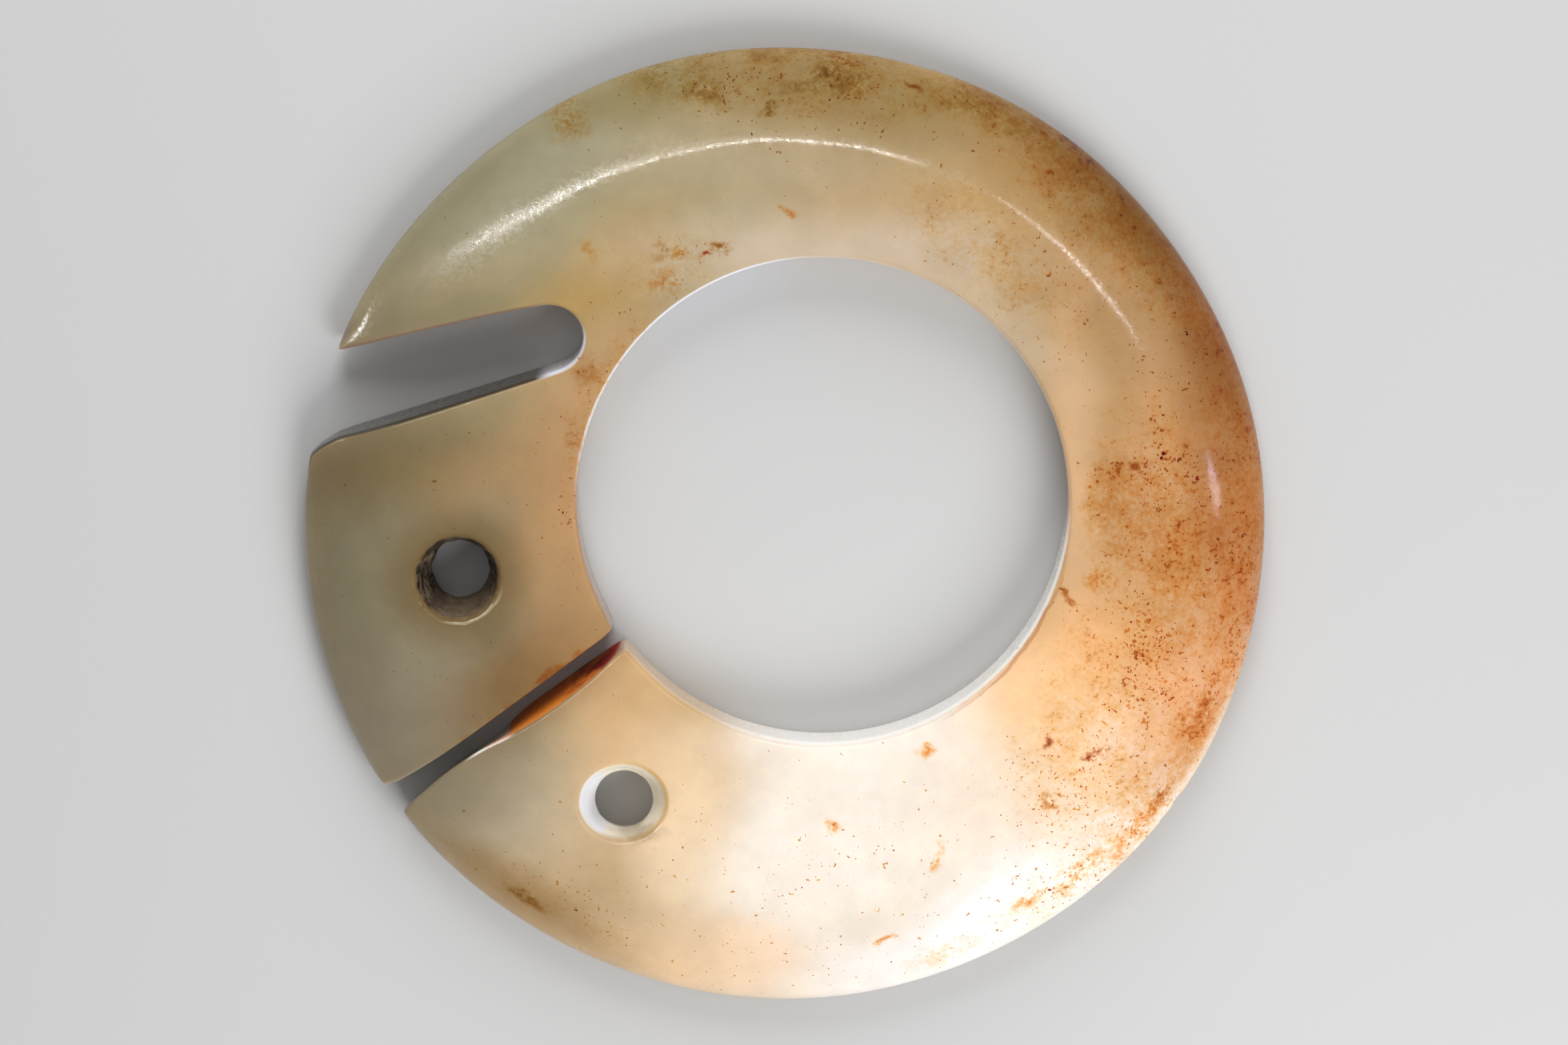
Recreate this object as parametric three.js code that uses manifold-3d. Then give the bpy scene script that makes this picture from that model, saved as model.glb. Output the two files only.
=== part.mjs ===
// Slit-ring pendant of pale nephrite: a coiled creature with an open mouth, carved from one stone.
// Millimetres. +Z is up: the pendant lies on its flat back, its polished face towards +Z.
// The origin is the centre of the outer rim, on the back face. +X is right and +Y up in the front view.

import * as THREE from 'three';
import { mergeVertices } from 'three/addons/utils/BufferGeometryUtils.js';
import Module from 'manifold-3d';

// The ring blank
const ringRadius = 35.05;
const apertureRadius = 17.8;
const apertureOffsetX = 2.75;
const apertureOffsetY = 2.35;

// The rim was ground in flats that run into each other: shallow waves round it, each with a hollow
// at its bearing.
const rimWaves = [
  { count: 2, height: 0.05, bearing: 9.5 },
  { count: 3, height: 0.04, bearing: 14.8 },
  { count: 7, height: 0.06, bearing: 138 },
];

// The front: a crowned bevel rises from the rim to a soft crest, then the face dips to the aperture.
const rimFrontHeight = 2.5;
const crestInset = 8.2;
const crestHeight = 6.35;
const crestBlend = 0.5;
const apertureFaceHeight = 4.8;

// The back: flat, with a low bevel to the rim
const rimBackHeight = 0.8;
const backBevelWidth = 3.5;

// Rounded edges of the aperture
const frontEasing = 0.8;
const backEasing = 0.5;

// The mouth: a slot with a round inner end, its lips opening towards the rim. The upper lip sags.
const mouthRadius = 2.45;
const mouthBearing = 148.5;
const neckWall = 2.85;
const upperLipAngle = 9.5;
const upperLipSag = 1.75;
const lowerLipAngle = 17.4;
const mouthEdge = 0.35;

// Chips that took the corner off the lower lip, inwards from the rim and down from the lip
const lipChipDepths = [2.6, 1.3, 0.5, 0.3];
const lipChipDrops = [0, 0.8, 1.45, 3];

// The slit between head and tail, sawn from the aperture to the rim, a little to the head's side
const slitBearing = 215.8;
const slitShift = 0.5;
const kerf = 1.4;
const slitCornerRadius = 0.7;
const slitEdge = 0.25;

// The tail's side of the slit curves away as it nears the rim.
const tailCurveDepth = 0.7;
const tailCurveLength = 5.5;

// A scoop worn into the front edge of the slit's tail side
const scoopWidth = 0.85;
const scoopCentre = 6.2;
const scoopHalfLength = 6.2;

// The two suspension holes, each drilled deep from the front and met by a short cone from the back
const perforationRadius = 2.1;
const perforationWaistHeight = 1.5;
const perforationFrontRadius = 3.1;
const perforationBackRadius = 2.55;
const headHoleBearing = 191.5;
const headHoleWall = 9.2;
const tailHoleBearing = 236.9;
const tailHoleWall = 8.7;

// How far a cutter runs past the stone
const overrun = 3;

// How far the slit's corners turn before they run on straight, in degrees
const cornerTurn = 60;

// Points closer than this share of the ring's radius are one point.
const mergeShare = 1e-6;

// Counts of flats on round stretches
const ringSteps = 120;
const rimSteps = 6;
const easingSteps = 3;
const noseSteps = 12;
const holeSteps = 28;
const cornerSteps = 4;

// The most of the ring's width that the bevel may take
const bevelLimitShare = 0.65;

// Where the section is sampled across the front bevel and crest, as shares of the crest's inset
const bevelShares = [0.22, 0.34, 0.46, 0.58, 0.7, 0.8, 0.9, 1.0, 1.12];

// Where the slit's sides are sampled between their rounded corners, as shares of the way to the rim
const slitShares = [0.1, 0.18, 0.26, 0.36, 0.46, 0.54, 0.6, 0.68, 0.76, 0.84, 0.9];

// Where each lip of the mouth is sampled, as shares of the way from its round end to the rim
const lipShares = [0.15, 0.28, 0.4, 0.48, 0.56, 0.64, 0.74, 0.86];

const radians = THREE.MathUtils.degToRad;
const aperture = new THREE.Vector2(apertureOffsetX, apertureOffsetY);

/** A point at a bearing in degrees and a distance from the aperture's centre. */
function fromAperture(bearing, distance) {
  const direction = new THREE.Vector2(Math.cos(radians(bearing)), Math.sin(radians(bearing)));
  return direction.multiplyScalar(distance).add(aperture);
}

/** Distance from the aperture's centre to the rim at a bearing: ray to circle, less the rim's waves. */
function rimDistance(bearing) {
  const along = Math.cos(radians(bearing)) * aperture.x + Math.sin(radians(bearing)) * aperture.y;
  const reach = Math.sqrt(along * along + ringRadius * ringRadius - aperture.lengthSq()) - along;
  const hollow = rimWaves.reduce((sum, wave) => (
    sum + wave.height * Math.cos(wave.count * radians(bearing - wave.bearing))
  ), 0);
  return reach - hollow;
}

/** The lower of two heights, rounded where they cross. */
function softMinimum(a, b, blend) {
  const share = THREE.MathUtils.clamp(0.5 + 0.5 * (b - a) / blend, 0, 1);
  return THREE.MathUtils.lerp(b, a, share) - blend * share * (1 - share);
}

/** How far in from the rim the crest lies, where the ring is width wide. */
function crestInsetAt(width) {
  return Math.min(crestInset, width * bevelLimitShare);
}

/** Height of the front at a distance in from the rim, where the ring is width wide. */
function frontProfile(inset, width) {
  const crest = crestInsetAt(width);
  const toCrest = Math.max(0, 1 - inset / crest);
  const bevel = crestHeight - (crestHeight - rimFrontHeight) * toCrest * toCrest;
  const faceSlope = (crestHeight - apertureFaceHeight) / (width - crest);
  const face = apertureFaceHeight + faceSlope * (width - inset);
  return softMinimum(bevel, face, crestBlend);
}

/** Height of the back at a distance in from the rim. */
function backProfile(inset) {
  return rimBackHeight * Math.max(0, 1 - inset / backBevelWidth);
}

/** Heights of the front and back at a place on the plan, carried on level past the rim. */
function heightsAt(point) {
  const offset = point.clone().sub(aperture);
  const rim = rimDistance(THREE.MathUtils.radToDeg(offset.angle()));
  const width = rim - apertureRadius;
  const inset = THREE.MathUtils.clamp(rim - offset.length(), 0, width);
  return { front: frontProfile(inset, width), back: backProfile(inset) };
}

/** One section of the ring, from the aperture's wall out along the back and home along the front. */
function ringSection(bearing) {
  const width = rimDistance(bearing) - apertureRadius;
  const rimEasing = (rimFrontHeight - rimBackHeight) / 2;
  const section = [];
  for (let i = 0; i <= easingSteps; i += 1) {
    const turn = (Math.PI / 2) * (i / easingSteps);
    section.push([backEasing * (1 - Math.cos(turn)), backEasing * (1 - Math.sin(turn))]);
  }
  section.push([width - backBevelWidth, 0]);
  for (let i = 0; i <= rimSteps; i += 1) {
    const turn = Math.PI * (i / rimSteps) - Math.PI / 2;
    const inset = rimEasing * (1 - Math.cos(turn));
    const drop = rimEasing * (1 - Math.abs(Math.sin(turn)));
    const height = turn < 0 ? backProfile(inset) + drop : frontProfile(inset, width) - drop;
    section.push([width - inset, height]);
  }
  for (const share of bevelShares) {
    const inset = crestInsetAt(width) * share;
    section.push([width - inset, frontProfile(inset, width)]);
  }
  for (let i = 0; i <= easingSteps; i += 1) {
    const turn = (Math.PI / 2) * (i / easingSteps);
    const across = frontEasing * (1 - Math.sin(turn));
    const drop = frontEasing * (1 - Math.cos(turn));
    section.push([across, frontProfile(width - across, width) - drop]);
  }
  return section;
}

/** A closed surface over a grid of points: rows wrap round, and every row is a closed loop. */
function wrappedGrid(rows) {
  const count = rows[0].length;
  const index = [];
  for (let i = 0; i < rows.length; i += 1) {
    const next = (i + 1) % rows.length;
    for (let j = 0; j < count; j += 1) {
      const after = (j + 1) % count;
      index.push(i * count + j, next * count + j, next * count + after);
      index.push(i * count + j, next * count + after, i * count + after);
    }
  }
  return geometryOf(rows.flat(), index);
}

/** A closed solid through rings of equal count, from the lowest to the highest, with flat ends. */
function loft(rings) {
  const count = rings[0].length;
  const index = [];
  for (let i = 0; i + 1 < rings.length; i += 1) {
    for (let j = 0; j < count; j += 1) {
      const after = (j + 1) % count;
      index.push(i * count + j, i * count + after, (i + 1) * count + after);
      index.push(i * count + j, (i + 1) * count + after, (i + 1) * count + j);
    }
  }
  const top = (rings.length - 1) * count;
  for (const [a, b, c] of THREE.ShapeUtils.triangulateShape(rings[0], [])) {
    index.push(c, b, a);
  }
  for (const [a, b, c] of THREE.ShapeUtils.triangulateShape(rings[rings.length - 1], [])) {
    index.push(top + a, top + b, top + c);
  }
  return geometryOf(rings.flat(), index);
}

function geometryOf(points, index) {
  const geometry = new THREE.BufferGeometry().setFromPoints(points);
  geometry.setIndex(index);
  return geometry;
}

/** The whole ring before anything is cut from it. */
function ringBlank() {
  const rows = [];
  for (let i = 0; i < ringSteps; i += 1) {
    const bearing = 360 * (i / ringSteps);
    rows.push(ringSection(bearing).map(([across, height]) => {
      const place = fromAperture(bearing, apertureRadius + across);
      return new THREE.Vector3(place.x, place.y, height);
    }));
  }
  return wrappedGrid(rows);
}

/** The outward normals of a counter-clockwise outline, one at each of its points. */
function outlineNormals(outline) {
  return outline.map((point, i) => {
    const before = outline[(i + outline.length - 1) % outline.length];
    const after = outline[(i + 1) % outline.length];
    const run = after.clone().sub(before).normalize();
    return new THREE.Vector2(run.y, -run.x);
  });
}

/**
 * A cutter that goes right through the stone. Its wall is upright on the outline, and chamfers of the
 * edge's width follow the front and the back. widen gives what the front edge stands back further.
 */
function throughCutter(outline, edge, widen) {
  const normals = outlineNormals(outline);
  const past = 2 * edge;
  const ringAt = (offsetOf, heightOf) => outline.map((point, i) => {
    const place = point.clone().addScaledVector(normals[i], offsetOf(i));
    return new THREE.Vector3(place.x, place.y, heightOf(heightsAt(place)));
  });
  return loft([
    ringAt(() => past, () => -overrun),
    ringAt(() => past, (heights) => heights.back - edge),
    ringAt(() => 0, (heights) => heights.back + edge),
    ringAt((i) => widen(i), (heights) => heights.front - edge),
    ringAt((i) => past + widen(i), (heights) => heights.front + edge),
    ringAt((i) => past + widen(i), () => crestHeight + overrun),
  ]);
}

/** The mouth's outline: upper lip, round inner end, lower lip and the chipped corner at the rim. */
function mouthOutline() {
  const nose = fromAperture(mouthBearing, apertureRadius + neckWall + mouthRadius);
  const start = radians(lowerLipAngle) - Math.PI / 2;
  const end = radians(upperLipAngle) + Math.PI / 2;
  const outline = [];
  for (let i = 0; i <= noseSteps; i += 1) {
    const turn = THREE.MathUtils.lerp(start, end, i / noseSteps);
    outline.push(new THREE.Vector2(Math.cos(turn), Math.sin(turn)).multiplyScalar(mouthRadius).add(nose));
  }
  const reach = ringRadius + overrun;
  const upperStart = outline[noseSteps];
  const upperAt = (share) => {
    const run = (reach + upperStart.x) * share;
    const sag = upperLipSag * (run / (ringRadius + upperStart.x)) ** 2;
    const drop = run * Math.tan(radians(upperLipAngle)) + sag;
    return new THREE.Vector2(upperStart.x - run, upperStart.y - drop);
  };
  const lipRun = outline[0].x + ringRadius - lipChipDepths[0];
  const lipEndHeight = outline[0].y - lipRun * Math.tan(radians(lowerLipAngle));
  const chips = lipChipDepths.map((depth, i) => (
    new THREE.Vector2(depth - ringRadius, lipEndHeight - lipChipDrops[i])
  ));
  const lowerEnd = new THREE.Vector2(-reach, chips[chips.length - 1].y);
  const lowerLip = lipShares.map((share) => outline[0].clone().lerp(chips[0], share)).reverse();
  return [...outline, ...lipShares.map(upperAt), upperAt(1), lowerEnd, ...chips.reverse(), ...lowerLip];
}

/** How far a rounded corner has drawn back at a distance in from it: an arc, then a straight run. */
function cornerFlare(distance) {
  const arcStart = slitCornerRadius * (1 - Math.sin(radians(cornerTurn)));
  const lean = 1 - THREE.MathUtils.clamp(distance, arcStart, slitCornerRadius) / slitCornerRadius;
  const arc = slitCornerRadius * (1 - Math.sqrt(1 - lean * lean));
  return arc + Math.max(0, arcStart - distance) * Math.tan(radians(cornerTurn));
}

/** The slit's outline and, for each of its points, how deep the scoop in the front edge is there. */
function slitShape() {
  const width = rimDistance(slitBearing) - apertureRadius;
  const corner = [-overrun];
  for (let i = 0; i <= cornerSteps; i += 1) {
    const turn = radians(cornerTurn) * (1 - i / cornerSteps);
    corner.push(slitCornerRadius * (1 - Math.sin(turn)));
  }
  const middle = slitShares.map((share) => width * share);
  const places = [...corner, ...middle, ...corner.map((place) => width - place).reverse()];
  const along = new THREE.Vector2(Math.cos(radians(slitBearing)), Math.sin(radians(slitBearing)));
  const towardsTail = new THREE.Vector2(-along.y, along.x);
  const pointAt = (place, side) => (
    fromAperture(slitBearing, apertureRadius + place).addScaledVector(towardsTail, side)
  );
  const flareAt = (place) => cornerFlare(place) + cornerFlare(width - place);
  const curveAt = (place) => {
    const share = THREE.MathUtils.clamp(1 - (width - place) / tailCurveLength, 0, 1);
    return tailCurveDepth * share * share;
  };
  const headSide = places.map((place) => pointAt(place, -slitShift - kerf / 2 - flareAt(place)));
  const tailSide = places.map((place) => (
    pointAt(place, kerf / 2 - slitShift + flareAt(place) + curveAt(place))
  )).reverse();
  const tailScoops = places.map((place) => {
    const share = (place - scoopCentre) / scoopHalfLength;
    return scoopWidth * Math.max(0, 1 - share * share);
  });
  return {
    outline: [...headSide, ...tailSide],
    scoops: [...places.map(() => 0), ...tailScoops.reverse()],
  };
}

/** A suspension hole: two cones that meet at a narrow waist. */
function perforationCutter(bearing, wall) {
  const place = fromAperture(bearing, apertureRadius + wall);
  const heights = heightsAt(place);
  const frontSlope = (perforationFrontRadius - perforationRadius) / (heights.front - perforationWaistHeight);
  const backSlope = (perforationBackRadius - perforationRadius) / perforationWaistHeight;
  const top = heights.front + overrun;
  const profile = [
    new THREE.Vector2(0, -overrun),
    new THREE.Vector2(perforationRadius + backSlope * (perforationWaistHeight + overrun), -overrun),
    new THREE.Vector2(perforationRadius, perforationWaistHeight),
    new THREE.Vector2(perforationRadius + frontSlope * (top - perforationWaistHeight), top),
    new THREE.Vector2(0, top),
  ];
  const geometry = new THREE.LatheGeometry(profile, holeSteps);
  geometry.rotateX(Math.PI / 2);
  geometry.translate(place.x, place.y, 0);
  return geometry;
}

const wasm = await Module();
wasm.setup();

function solidOf(geometry) {
  const bare = geometry.clone();
  bare.deleteAttribute('normal');
  bare.deleteAttribute('uv');
  const merged = mergeVertices(bare, ringRadius * mergeShare);
  return new wasm.Manifold(new wasm.Mesh({
    numProp: 3,
    vertProperties: new Float32Array(merged.attributes.position.array),
    triVerts: new Uint32Array(merged.index.array),
  }));
}

function geometryFrom(solid) {
  const mesh = solid.getMesh();
  const geometry = new THREE.BufferGeometry();
  geometry.setAttribute('position', new THREE.BufferAttribute(new Float32Array(mesh.vertProperties), 3));
  geometry.setIndex(new THREE.BufferAttribute(new Uint32Array(mesh.triVerts), 1));
  geometry.computeVertexNormals();
  return geometry;
}

const mouth = mouthOutline();
const slit = slitShape();
const cutters = [
  throughCutter(mouth, mouthEdge, () => 0),
  throughCutter(slit.outline, slitEdge, (i) => slit.scoops[i]),
  perforationCutter(headHoleBearing, headHoleWall),
  perforationCutter(tailHoleBearing, tailHoleWall),
];

let carving = solidOf(ringBlank());
for (const cutter of cutters) {
  carving = carving.subtract(solidOf(cutter));
}

const jade = new THREE.MeshStandardMaterial({ color: 0xcdb894, roughness: 0.35, metalness: 0 });
const body = new THREE.Mesh(geometryFrom(carving), jade);
body.name = 'jade_body';

const pendant = new THREE.Group();
pendant.add(body);

export default pendant;
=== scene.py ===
import math

import bpy
import numpy as np
from mathutils import Matrix, Vector
from mathutils.geometry import delaunay_2d_cdt


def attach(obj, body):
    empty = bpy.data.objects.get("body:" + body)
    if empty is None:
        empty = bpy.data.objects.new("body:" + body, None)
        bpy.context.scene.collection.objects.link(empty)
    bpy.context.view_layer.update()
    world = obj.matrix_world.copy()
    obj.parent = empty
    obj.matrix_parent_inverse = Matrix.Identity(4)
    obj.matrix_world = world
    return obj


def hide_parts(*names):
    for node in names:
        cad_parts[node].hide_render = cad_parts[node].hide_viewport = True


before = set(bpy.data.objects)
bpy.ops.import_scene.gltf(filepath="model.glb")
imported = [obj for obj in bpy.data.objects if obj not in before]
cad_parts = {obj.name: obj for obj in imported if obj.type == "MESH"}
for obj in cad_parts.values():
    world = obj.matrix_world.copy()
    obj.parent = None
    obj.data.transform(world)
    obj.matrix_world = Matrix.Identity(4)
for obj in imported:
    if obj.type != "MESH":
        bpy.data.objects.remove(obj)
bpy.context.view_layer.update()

# Lengths are in millimetres until a mesh, a lamp or the camera is made, and bearings in degrees
# about the aperture's centre, counter-clockwise from +X.
MM = 0.001

# The ring blank
RING_RADIUS = 35.045
APERTURE_RADIUS = 17.8
APERTURE_CENTRE = np.array((2.75, 2.35))

# Shallow flats round the rim: how many, how high, and the bearing of a hollow
RIM_WAVES = ((2, 0.05, 9.5), (3, 0.04, 14.8), (7, 0.06, 138.0))

# Small chips in the rim: bearing, depth, and half width in degrees
RIM_CHIPS = ((177.3, 0.22, 0.5), (178.6, 0.1, 0.3), (319.3, 0.2, 0.7), (316.2, 0.1, 0.4))

# The front's crowned bevel, soft crest and dished face, and the back's low bevel
RIM_FRONT_HEIGHT = 2.5
CREST_INSET = 8.2
CREST_HEIGHT = 6.35
CREST_BLEND = 0.7
APERTURE_FACE_HEIGHT = 4.8
RIM_BACK_HEIGHT = 0.8
BACK_BEVEL_WIDTH = 3.5
BACK_BEVEL_BLEND = 0.12

# Low swells that hand polishing left in the front: how deep, their lengths, how much the first
# bends and how far the second is shifted, the shares of the level, the crossed and the slanted
# swells, and the slanted one's direction
POLISH_DEPTH = 0.022
POLISH_LENGTHS = (7.3, 10.9, 4.7)
POLISH_BEND = 0.7
POLISH_SHIFT = 1.3
POLISH_SHARES = (0.5, 0.35, 0.15)
POLISH_SLANT = (0.6, -0.8)

# The mouth
MOUTH_RADIUS = 2.45
MOUTH_BEARING = 148.5
NECK_WALL = 2.85
UPPER_LIP_ANGLE = 9.5
UPPER_LIP_SAG = 1.75
LOWER_LIP_ANGLE = 17.4
LIP_CHIP_DEPTHS = (2.6, 1.3, 0.5, 0.3)
LIP_CHIP_DROPS = (0.0, 0.8, 1.45, 3.0)

# The slit between head and tail: sides are measured from its axis, towards the tail
SLIT_BEARING = 215.8
SLIT_HEAD_SIDE = -1.2
SLIT_TAIL_SIDE = 0.2
TAIL_CURVE_DEPTH = 0.7
TAIL_CURVE_LENGTH = 5.5
TAIL_SWELL = 0.2
TAIL_SWELL_CENTRE = 32.8
TAIL_SWELL_LENGTH = 2.6
TAIL_UNDERCUT = 0.55
TAIL_UNDERCUT_START = 27.0
TAIL_UNDERCUT_RAMP = 3.0
SCOOP_WIDTH = 0.6
SCOOP_CENTRE = 24.0
SCOOP_HALF_LENGTH = 6.2

# Widths and depths of the rounded edges: front width, front depth, back width, back depth
RIM_EDGE = (0.85, 0.72, 0.85, 0.72)
APERTURE_EDGE = (0.4, 0.6, 0.5, 0.5)
LIP_EDGE = (0.35, 0.4, 0.3, 0.3)
SLIT_EDGE = (0.22, 0.25, 0.25, 0.25)

# How far the outline is smoothed: the spread of its sharpest and its softest corners, of the edge
# sizes and of the normals, and where between sharpest and softest a stretch lies
SHARP_SPREAD = 0.18
SOFT_SPREAD = 1.1
SIZE_SPREAD = 0.6
NORMAL_SPREAD = 0.12
RIM_SOFTNESS = 0.3
LIP_SOFTNESS = 0.2
SLIT_SOFTNESS = 0.3
APERTURE_SOFTNESS = 0.3
HEAD_CORNER_SOFTNESS = 0.75

# Where the head's corner begins to soften and where it is softest, inwards from the rim
HEAD_CORNER_START = 3.0
HEAD_CORNER_END = 1.5

# The most that an edge may take of the outline's radius and of the stone's thickness, and how
# fast its width may grow along the outline
EDGE_RADIUS_SHARE = 0.72
EDGE_THICKNESS_SHARE = 0.9
EDGE_GROWTH = 0.3
EDGE_REACH = 4.0

# The two suspension holes: the front openings, the waists, and where the head's hole is dented,
# as bearing, share of the radius and width in degrees
HEAD_HOLE_CENTRE = np.array((-23.73, -3.03))
HEAD_HOLE_FRONT = (3.0, 3.0)
HEAD_HOLE_WAIST = (2.18, 2.08)
HEAD_HOLE_DENTS = ((205, 0.12, 34), (152, 0.1, 24))
HEAD_HOLE_CRUST = 0.07
TAIL_HOLE_CENTRE = np.array((-11.74, -19.86))
TAIL_HOLE_FRONT_CENTRE = np.array((-11.81, -19.6))
TAIL_HOLE_FRONT = (3.2, 2.78)
TAIL_HOLE_WAIST = (2.06, 2.06)
TAIL_HOLE_CRUST = 0.02
HEAD_HOLE_WAIST_HEIGHT = 1.5
TAIL_HOLE_WAIST_HEIGHT = 3.1
HOLE_BACK_RADIUS = 2.55
HOLE_LIP = 0.4
HOLE_BACK_LIP = 0.24

# Shares of a hole's cones: where the front lip ends, where the waist's rounding begins and ends,
# and where the back lip begins
FRONT_LIP_SHARE = 0.13
WAIST_START_SHARE = 0.9
WAIST_END_SHARE = 0.35
BACK_LIP_SHARE = 0.25

# The crust's relief: strength, and two waves that are multiplied, each with its count round the
# hole, its turns down the wall and its phase. It lies on a share of the wall's length.
CRUST_WAVES = ((1.0, (5, 9, 0), (3, -14, 1)), (0.6, (11, 23, 0), (-4, 31, 0)))
CRUST_START_SHARE = 0.12
CRUST_LENGTH_SHARE = 0.75

# Rows of the wall grids that round the front and the back edge
FRONT_EDGE_ROWS = 8
BACK_EDGE_ROWS = 6
FRONT_LIP_ROWS = 7
BACK_LIP_ROWS = 5
WALL_ROWS = 9
WALL_EASE = 0.8
CONE_ROWS = 13
WAIST_ROWS = 6

# Columns of the sizes that each point of the outline carries
FRONT_WIDTH, BACK_WIDTH, SOFTNESS = 0, 2, 4

# Fineness of the mesh: all steps are along the outline
PATH_STEP = 0.1
LEAST_ARC_POINTS = 8
SIDE_OVERRUN = 1
FINEST_STEP = 0.05
WIDEST_STEP = 0.22
STEP_SHARE = 0.25
STEP_GROWTH = 0.2
STEP_REACH = 1.0
LEAST_CURVATURE = 1e-3
NET_TOLERANCE = 1e-7
NET_INSIDE_ONLY = 1
FACE_CLEARANCE = 0.2
POINTS_AT_ONCE = 2000
FRONT_BEARINGS = 560
BACK_BEARINGS = 300
HOLE_STATIONS = 72
BEVEL_RINGS = 17
CREST_RINGS = 14
FACE_RINGS = 24
BACK_RINGS = 34

# The finer rings on the crest: how far outside it and inside it they lie, their gap to the rings
# beside them, and the margins at the rim and the aperture
CREST_OUTSIDE = 1.05
CREST_INSIDE = 1.9
CREST_GAP = 0.25
RIM_MARGIN = 0.5
APERTURE_MARGIN = 0.3


def direction(bearing):
    """Unit vectors at bearings."""
    turn = np.radians(bearing)
    return np.stack((np.cos(turn), np.sin(turn)), axis=-1)


def from_aperture(bearing, distance):
    """Points at bearings and distances from the aperture's centre."""
    return APERTURE_CENTRE + direction(bearing) * np.asarray(distance)[..., None]


def bearing_of(points):
    """Bearings of points, from 0 to 360."""
    offset = points - APERTURE_CENTRE
    return np.degrees(np.arctan2(offset[..., 1], offset[..., 0])) % 360


def distance_of(points):
    """Distances of points from the aperture's centre."""
    offset = points - APERTURE_CENTRE
    return np.hypot(offset[..., 0], offset[..., 1])


def rim_distance(bearing):
    """Distance from the aperture's centre to the rim: where the ray meets the outer circle, less
    the sum of each wave's height times the cosine of its count times the bearing from its hollow."""
    along = direction(bearing) @ APERTURE_CENTRE
    reach = np.sqrt(along ** 2 + RING_RADIUS ** 2 - APERTURE_CENTRE @ APERTURE_CENTRE) - along
    for count, height, hollow in RIM_WAVES:
        reach = reach - height * np.cos(count * np.radians(bearing - hollow))
    return reach


def chipped_rim(bearing):
    """Points along the rim, drawn in at each chip by a bell curve of the bearing."""
    reach = rim_distance(bearing)
    for place, depth, half_width in RIM_CHIPS:
        gap = (bearing - place + 180) % 360 - 180
        reach = reach - depth * np.exp(-(gap / half_width) ** 2)
    return from_aperture(bearing, reach)


def soft_minimum(a, b, blend):
    """The lower of two heights, less a parabola of the blend's size where they cross."""
    share = np.clip(0.5 + 0.5 * (b - a) / blend, 0, 1)
    return b + (a - b) * share - blend * share * (1 - share)


def polish_swell(points):
    """Depth of the polishing swells: a product and a sum of sines of the plan's two directions,
    scaled to lie between nothing and the swells' depth."""
    x, y = points[..., 0], points[..., 1]
    first, second, third = (math.tau / length for length in POLISH_LENGTHS)
    bent = first * x + POLISH_BEND * np.sin(second * y)
    crossed = np.sin(bent) * np.sin(second * y + POLISH_SHIFT)
    slanted = np.sin(third * (POLISH_SLANT[0] * x + POLISH_SLANT[1] * y))
    level, crossed_share, slanted_share = POLISH_SHARES
    return POLISH_DEPTH * (level + crossed_share * crossed + slanted_share * slanted)


def front_height(points):
    """Height of the front: a parabola rises from the rim to the crest, a straight slope dips from
    the crest to the aperture, and the softened lower of the two is taken, less the swells."""
    rim = rim_distance(bearing_of(points))
    width = rim - APERTURE_RADIUS
    inset = np.clip(rim - distance_of(points), 0, width)
    to_crest = np.maximum(0, 1 - inset / CREST_INSET)
    bevel = CREST_HEIGHT - (CREST_HEIGHT - RIM_FRONT_HEIGHT) * to_crest ** 2
    face_slope = (CREST_HEIGHT - APERTURE_FACE_HEIGHT) / (width - CREST_INSET)
    face = APERTURE_FACE_HEIGHT + face_slope * (width - inset)
    return soft_minimum(bevel, face, CREST_BLEND) - polish_swell(points)


def back_height(points):
    """Height of the back: flat, then a straight slope up to the rim, softened where they meet."""
    rim = rim_distance(bearing_of(points))
    inset = np.clip(rim - distance_of(points), 0, None)
    slope = RIM_BACK_HEIGHT * (1 - inset / BACK_BEVEL_WIDTH)
    return np.maximum(0, -soft_minimum(-slope, np.zeros_like(slope), BACK_BEVEL_BLEND))


def stretch(points, edge, softness, front_shift=0.0, back_shift=0.0):
    """Rows of the outline: x, y, the edge's four sizes, its softness, and how far the front and
    the back edge stand back from the outline."""
    sizes = np.broadcast_to(edge, (len(points), len(edge)))
    others = np.broadcast_arrays(softness, front_shift, back_shift, points[:, 0])[:3]
    return np.column_stack((points, sizes, *others))


def kept(rows):
    """The rows that lie between the aperture and the rim."""
    distance = distance_of(rows[:, :2])
    return rows[(distance > APERTURE_RADIUS) & (distance < rim_distance(bearing_of(rows[:, :2])))]


def arc(centre, radius, start, end):
    """A round stretch from one direction to another, in degrees."""
    count = max(LEAST_ARC_POINTS, int(abs(math.radians(end - start)) * radius / PATH_STEP))
    return centre + radius * direction(np.linspace(start, end, count))


def polyline(corners):
    """A path straight from corner to corner, sampled evenly."""
    corners = np.asarray(corners, dtype=float)
    runs = np.hypot(*np.diff(corners, axis=0).T)
    reached = np.concatenate(((0.0,), np.cumsum(runs)))
    places = np.linspace(0, reached[-1], int(reached[-1] / PATH_STEP) + 2)
    return np.stack([np.interp(places, reached, corners[:, axis]) for axis in (0, 1)], axis=1)


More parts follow.
